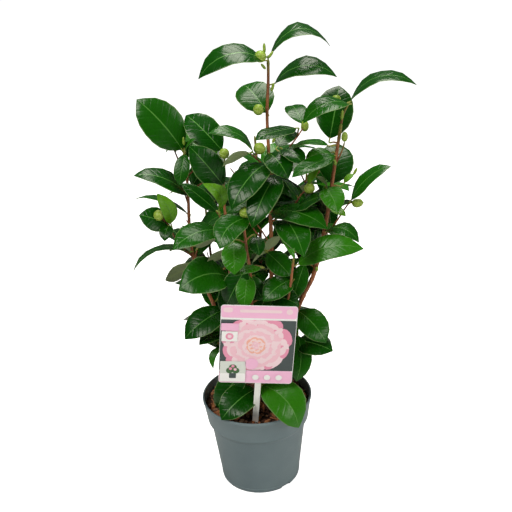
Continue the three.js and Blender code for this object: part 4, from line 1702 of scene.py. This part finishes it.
@dataclass
class PictureTag:
    """The plant's tag: a rounded card with a flower picture and no words, on a ribbed stick."""

    wide: float = 95.0
    high: float = 118.0
    thick: float = 0.8
    corner: float = 4.0
    lean: float = 5.0
    roll: float = 5.5
    foot: Place = (-2.0, -61.0, 185.0)
    stick_wide: float = 8.0
    stick_offset: float = 4.0
    stick_up: float = 45.0
    stick_down: float = 6.0  # below the soil's top
    rib_wide: float = 1.6
    ink: float = 0.05
    petal_layer: float = 0.07
    picture: Pair = (21.0, 97.0)  # its foot and its top on the card
    picture_side: float = 0.8  # from the card's edge

    def place(self) -> Matrix:
        """Works out how the flat card, x right and y up, is carried to its place.

        Returns:
            The matrix.
        """
        stand = Matrix.Rotation(math.radians(90), 4, "X")
        lean = Matrix.Rotation(math.radians(self.lean), 4, "X")
        roll = Matrix.Rotation(math.radians(self.roll), 4, "Y")
        return Matrix.Translation(Vector(self.foot) * MM) @ lean @ roll @ stand

    def build(self) -> None:
        """Makes the card, its print and its stick."""
        card = self.plate("tag_card_blank", (0, self.high / 2), (self.wide, self.high), self.corner,
                          (0, self.thick), CARD_WHITE)
        settle(card, "tag_card", "tag_card")
        settle(self.printed(), "tag_card")
        settle(self.stick(), "tag_stick", "tag_stick")

    def plate(self, name: str, middle: Pair, size: Pair, corner: float, depth: Pair,
              finish: Finish) -> Piece:
        """Cuts a plate with rounded corners and sets it in the tag.

        Args:
            name: the piece's name.
            middle: its middle on the card, in mm.
            size: its width and height.
            corner: the radius of its corners.
            depth: how far its back and its front stand before the card's back.
            finish: its material.

        Returns:
            The object.
        """
        piece = primitive(name, bpy.ops.mesh.primitive_plane_add, size=1, location=(0, 0, 0))
        bpy.ops.object.mode_set(mode="EDIT")
        bpy.ops.transform.resize(value=(size[0] * MM, size[1] * MM, 1))
        bpy.ops.mesh.bevel(offset=corner * MM, segments=6, affect="VERTICES")
        bpy.ops.mesh.select_all(action="SELECT")
        rise = (0, 0, (depth[1] - depth[0]) * MM)
        bpy.ops.mesh.extrude_region_move(TRANSFORM_OT_translate={"value": rise})
        outward()
        lift = Matrix.Translation((middle[0] * MM, middle[1] * MM, depth[0] * MM))
        piece.data.transform(self.place() @ lift)
        piece.data.materials.append(finish.build())
        return piece

    def printed(self) -> Piece:
        """Lays the print on the card: bands, picture and discs, each a thin raised patch.

        Returns:
            The print as one object.
        """
        half, front, ink = self.wide / 2, self.thick, self.ink
        inner = self.wide - 1.2
        over = 20  # above every petal of the bloom
        # middle, size, corner, level, finish
        patches = [
            ((0, 108.6), (inner, 17.6), 3.4, 0, PRINT_PINK),
            ((0, 58.5), (inner, 77), 1.2, 0, PRINT_SLATE),
            ((0, 10.2), (inner, 19.2), 3.4, 0, PRINT_PINK),
            ((12 - half, 86.5), (22, 11), 0.8, over, PRINT_PINK),
            ((12 - half, 72.5), (20, 15), 1.2, over, CARD_WHITE),
            ((12 - half, 72.5), (10, 10), 4.9, over + 1, PRINT_ROSE),
            ((12 - half, 72.5), (5, 5), 2.4, over + 2, PRINT_BLUSH),
            ((18 - half, 18.5), (33, 32), 1.6, over, PRINT_MIST),
            ((18 - half, 9), (33, 13), 1.6, over + 1, CARD_WHITE),
            ((18 - half, 12), (9, 8), 1.4, over + 2, PRINT_SLATE),
            ((14 - half, 20), (9, 9), 4.4, over + 3, PRINT_LEAF),
            ((22 - half, 20), (9, 9), 4.4, over + 3, PRINT_LEAF),
            ((18 - half, 25), (10, 9), 4.4, over + 4, PRINT_LEAF),
            ((15 - half, 23), (4, 4), 1.9, over + 5, PRINT_ROSE),
            ((21 - half, 22), (4, 4), 1.9, over + 5, PRINT_PETAL),
            ((18 - half, 27), (4, 4), 1.9, over + 5, PRINT_ROSE),
            ((-6, 31), (17, 17), 8.4, over, PRINT_PINK),
            *[((x, 10), (8.4, 8.4), 4.1, over, CARD_WHITE) for x in (0, 15, 30)],
            ((2, 110), (52, 4.5), 2.0, 1, PRINT_BLUSH),
            ((9 - half, 111), (12, 7), 3.4, 1, PRINT_BLUSH),
            ((half - 10, 110), (8, 8), 3.9, 1, PRINT_BLUSH),
        ]
        pieces = []
        for middle, size, corner, level, finish in patches:
            depth = (front + ink * level, front + ink * (level + 1))
            pieces.append(self.plate("patch", middle, size, corner, depth, finish))
        pieces.append(self.bloom((-2, 59), front + ink))
        whole = merged("tag_print", pieces)
        smooth(whole, 30)
        return whole

    def bloom(self, middle: Pair, front: float) -> Piece:
        """Builds the picture's double flower, from its outer petals in to its heart.

        Args:
            middle: its middle on the card, in mm.
            front: how far the ink's back stands before the card's back.

        Returns:
            The object, in its place.
        """
        rings = [  # petals, radius of their middles, half length, half width, finish
            (10, 34.0, 12.0, 13.5, PRINT_ROSE), (9, 29.5, 13.0, 14.0, PRINT_BLUSH),
            (8, 24.0, 12.5, 13.0, PRINT_PETAL), (8, 19.0, 11.0, 11.0, PRINT_BLUSH),
            (7, 14.5, 9.5, 9.5, PRINT_PETAL), (7, 11.0, 7.5, 7.5, PRINT_BLUSH),
            (8, 8.6, 5.0, 5.2, PRINT_PEACH), (6, 6.4, 5.0, 5.0, PRINT_CREAM),
            (4, 3.0, 4.0, 3.6, PRINT_PETAL),
        ]
        joined = Joined("bloom")
        chance = random.Random(5)
        side, (foot, top) = self.wide / 2 - self.picture_side, self.picture
        for level, (count, reach, long, wide, finish) in enumerate(rings):
            for petal in range(count):
                around = 2 * math.pi * (petal + 0.5 * (level % 2)) / count + 0.3
                around += chance.uniform(-0.12, 0.12)
                grown = chance.uniform(0.88, 1.12)
                back = front + self.petal_layer * level + 0.012 * petal
                points, faces = self.petal(long * grown, wide * grown, back)
                turn = np.array(Matrix.Rotation(around, 3, "Z"))
                points = (points + np.array([reach * chance.uniform(0.94, 1.06), 0, 0])) @ turn.T
                points += np.array([*middle, 0])
                points[:, :2] = np.clip(points[:, :2], [-side, foot], [side, top])
                joined.add(points, faces, finish)
        piece = joined.build(30)
        piece.data.transform(self.place())
        return piece

    def petal(self, long: float, wide: float, back: float) -> tuple[np.ndarray, Faces]:
        """Shapes one petal as a thin closed patch with a low crown.

        Args:
            long: half its length, in mm.
            wide: half its width.
            back: the height of its back.

        Returns:
            The points and faces.
        """
        corners = 16
        angles = [2 * math.pi * i / corners for i in range(corners)]
        edge = [(long * math.cos(a) * (1 - 0.08 * math.cos(a)),
                 wide * math.sin(a) * (1 + 0.18 * math.cos(a))) for a in angles]
        points = [(x, y, back - 0.05) for x, y in edge] + [(x, y, back + 0.02) for x, y in edge]
        points += [(0.7 * x, 0.7 * y, back + 0.3) for x, y in edge] + [(0.0, 0.0, back + 0.1)]
        faces = [tuple(range(corners))[::-1]]
        for i in range(corners):
            j = (i + 1) % corners
            faces.append((i, j, corners + j, corners + i))
            faces.append((corners + i, corners + j, 2 * corners + j, 2 * corners + i))
            faces.append((2 * corners + i, 2 * corners + j, 3 * corners))
        return np.array(points), faces

    def stick(self) -> Piece:
        """Makes the stick: a flat bar with a raised rib along each edge.

        Returns:
            The object.
        """
        bottom = SOIL_TOP - self.stick_down - self.foot[2]
        middle, high = (self.stick_up + bottom) / 2, self.stick_up - bottom
        bars = [self.plate("bar", (self.stick_offset, middle), (self.stick_wide, high), 0.8,
                           (-1.2, -0.4), STICK_PLASTIC)]
        for side in (-1, 1):
            across = self.stick_offset + side * (self.stick_wide / 2 - 0.9)
            bars.append(self.plate("rib", (across, middle), (self.rib_wide, high), 0.5,
                                   (-0.45, -0.05), STICK_PLASTIC))
        return merged("tag_stick_ribbed", bars)


# ---- Studio


@dataclass
class Studio:
    """A pale floor, soft light from large lamps, and the camera at the eye."""

    lens: float = 60.2
    pitch: float = 24.2
    yaw: float = -0.47
    roll: float = 2.9
    aim: Place = (0.0, 0.0, 0.38)  # metres
    lamp_colour: str = "#fffaf0"
    air_light: float = 0.1
    paper: float = 0.7  # the floor's paleness
    glow: float = 0.97  # what lifts the floor to white for the camera

    def build(self) -> None:
        """Makes the floor, the lamps, the sky and the camera."""
        self.floor()
        self.lamp("key_lamp", (-0.9, -0.9, 1.7), 23, 0.8)
        self.lamp("top_lamp", (0.2, 0.6, 2.0), 32, 1.0)
        self.lamp("fill_lamp", (1.5, -1.1, 1.0), 14.5, 0.9)
        self.air()
        bpy.context.scene.view_settings.view_transform = "Standard"
        self.camera()

    def air(self) -> None:
        """Fills the studio with faint light, and shows pure white behind the plant."""
        world = bpy.data.worlds.new("studio_air")
        world.use_nodes = True
        tree = world.node_tree
        seen = add_node(tree, "ShaderNodeLightPath").outputs["Is Camera Ray"]
        strength = add_node(tree, "ShaderNodeMapRange", {
            0: seen, 1: 0.0, 2: 1.0, 3: self.air_light, 4: 1.0})
        backdrop = tree.nodes["Background"]
        backdrop.inputs["Color"].default_value = (1, 1, 1, 1)
        tree.links.new(strength.outputs[0], backdrop.inputs["Strength"])
        bpy.context.scene.world = world

    def floor(self) -> None:
        """Lays the floor."""
        floor = primitive("studio_floor", bpy.ops.mesh.primitive_plane_add, size=30,
                          location=(0, 0, -0.5 * MM))
        paper = bpy.data.materials.new("pale_paper_floor")
        paper.use_nodes = True
        shader = paper.node_tree.nodes["Principled BSDF"]
        shader.inputs["Base Color"].default_value = (self.paper, self.paper, self.paper, 1)
        shader.inputs["Roughness"].default_value = 0.9
        shader.inputs["Emission Color"].default_value = (1, 1, 1, 1)
        tree = paper.node_tree
        seen = add_node(tree, "ShaderNodeLightPath").outputs["Is Camera Ray"]
        tree.links.new(maths(tree, "MULTIPLY", seen, self.glow), shader.inputs["Emission Strength"])
        floor.data.materials.append(paper)

    def lamp(self, name: str, place: Place, watts: float, size: float) -> None:
        """Hangs a square soft lamp that looks at the crown.

        Args:
            name: its name.
            place: where it hangs, in metres.
            watts: its power.
            size: the side of its face.
        """
        data = bpy.data.lights.new(name, "AREA")
        data.energy = watts
        data.size = size
        data.color = linear(self.lamp_colour)[:3]
        lamp = bpy.data.objects.new(name, data)
        lamp.location = place
        lamp.rotation_euler = (Vector(self.aim) - Vector(place)).to_track_quat("-Z", "Y").to_euler()
        bpy.context.collection.objects.link(lamp)

    def camera(self) -> None:
        """Sets the camera at the eye, with its small yaw and roll."""
        down, yaw, roll = (math.radians(a) for a in (self.pitch, self.yaw, self.roll))
        ahead = Vector((-math.sin(yaw) * math.cos(down), math.cos(yaw) * math.cos(down),
                        -math.sin(down)))
        right = Vector((math.cos(yaw), math.sin(yaw), 0))
        up = right.cross(ahead)
        rolled_right = math.cos(roll) * right - math.sin(roll) * up
        rolled_up = math.sin(roll) * right + math.cos(roll) * up
        data = bpy.data.cameras.new("camera")
        data.lens = self.lens
        data.sensor_width = 36
        data.clip_end = 100
        camera = bpy.data.objects.new("camera", data)
        turn = Matrix((rolled_right, rolled_up, -ahead)).transposed().to_4x4()
        camera.matrix_world = Matrix.Translation(Vector(EYE) * MM) @ turn
        bpy.context.collection.objects.link(camera)
        bpy.context.scene.camera = camera


# ---- The whole


def main() -> None:
    """Builds the plant, its pot, its tag and the studio."""
    logging.basicConfig(level=logging.INFO, format="%(message)s")
    work = StemWork(STEMS, list(TWIGS))
    Foliage(work).build()
    work.build()
    BudWork(FLOWER_BUDS, LEAF_BUDS).build()
    NurseryPot().build()
    CompostFill().build()
    PictureTag().build()
    Studio().build()


if __name__ == "__main__":
    main()
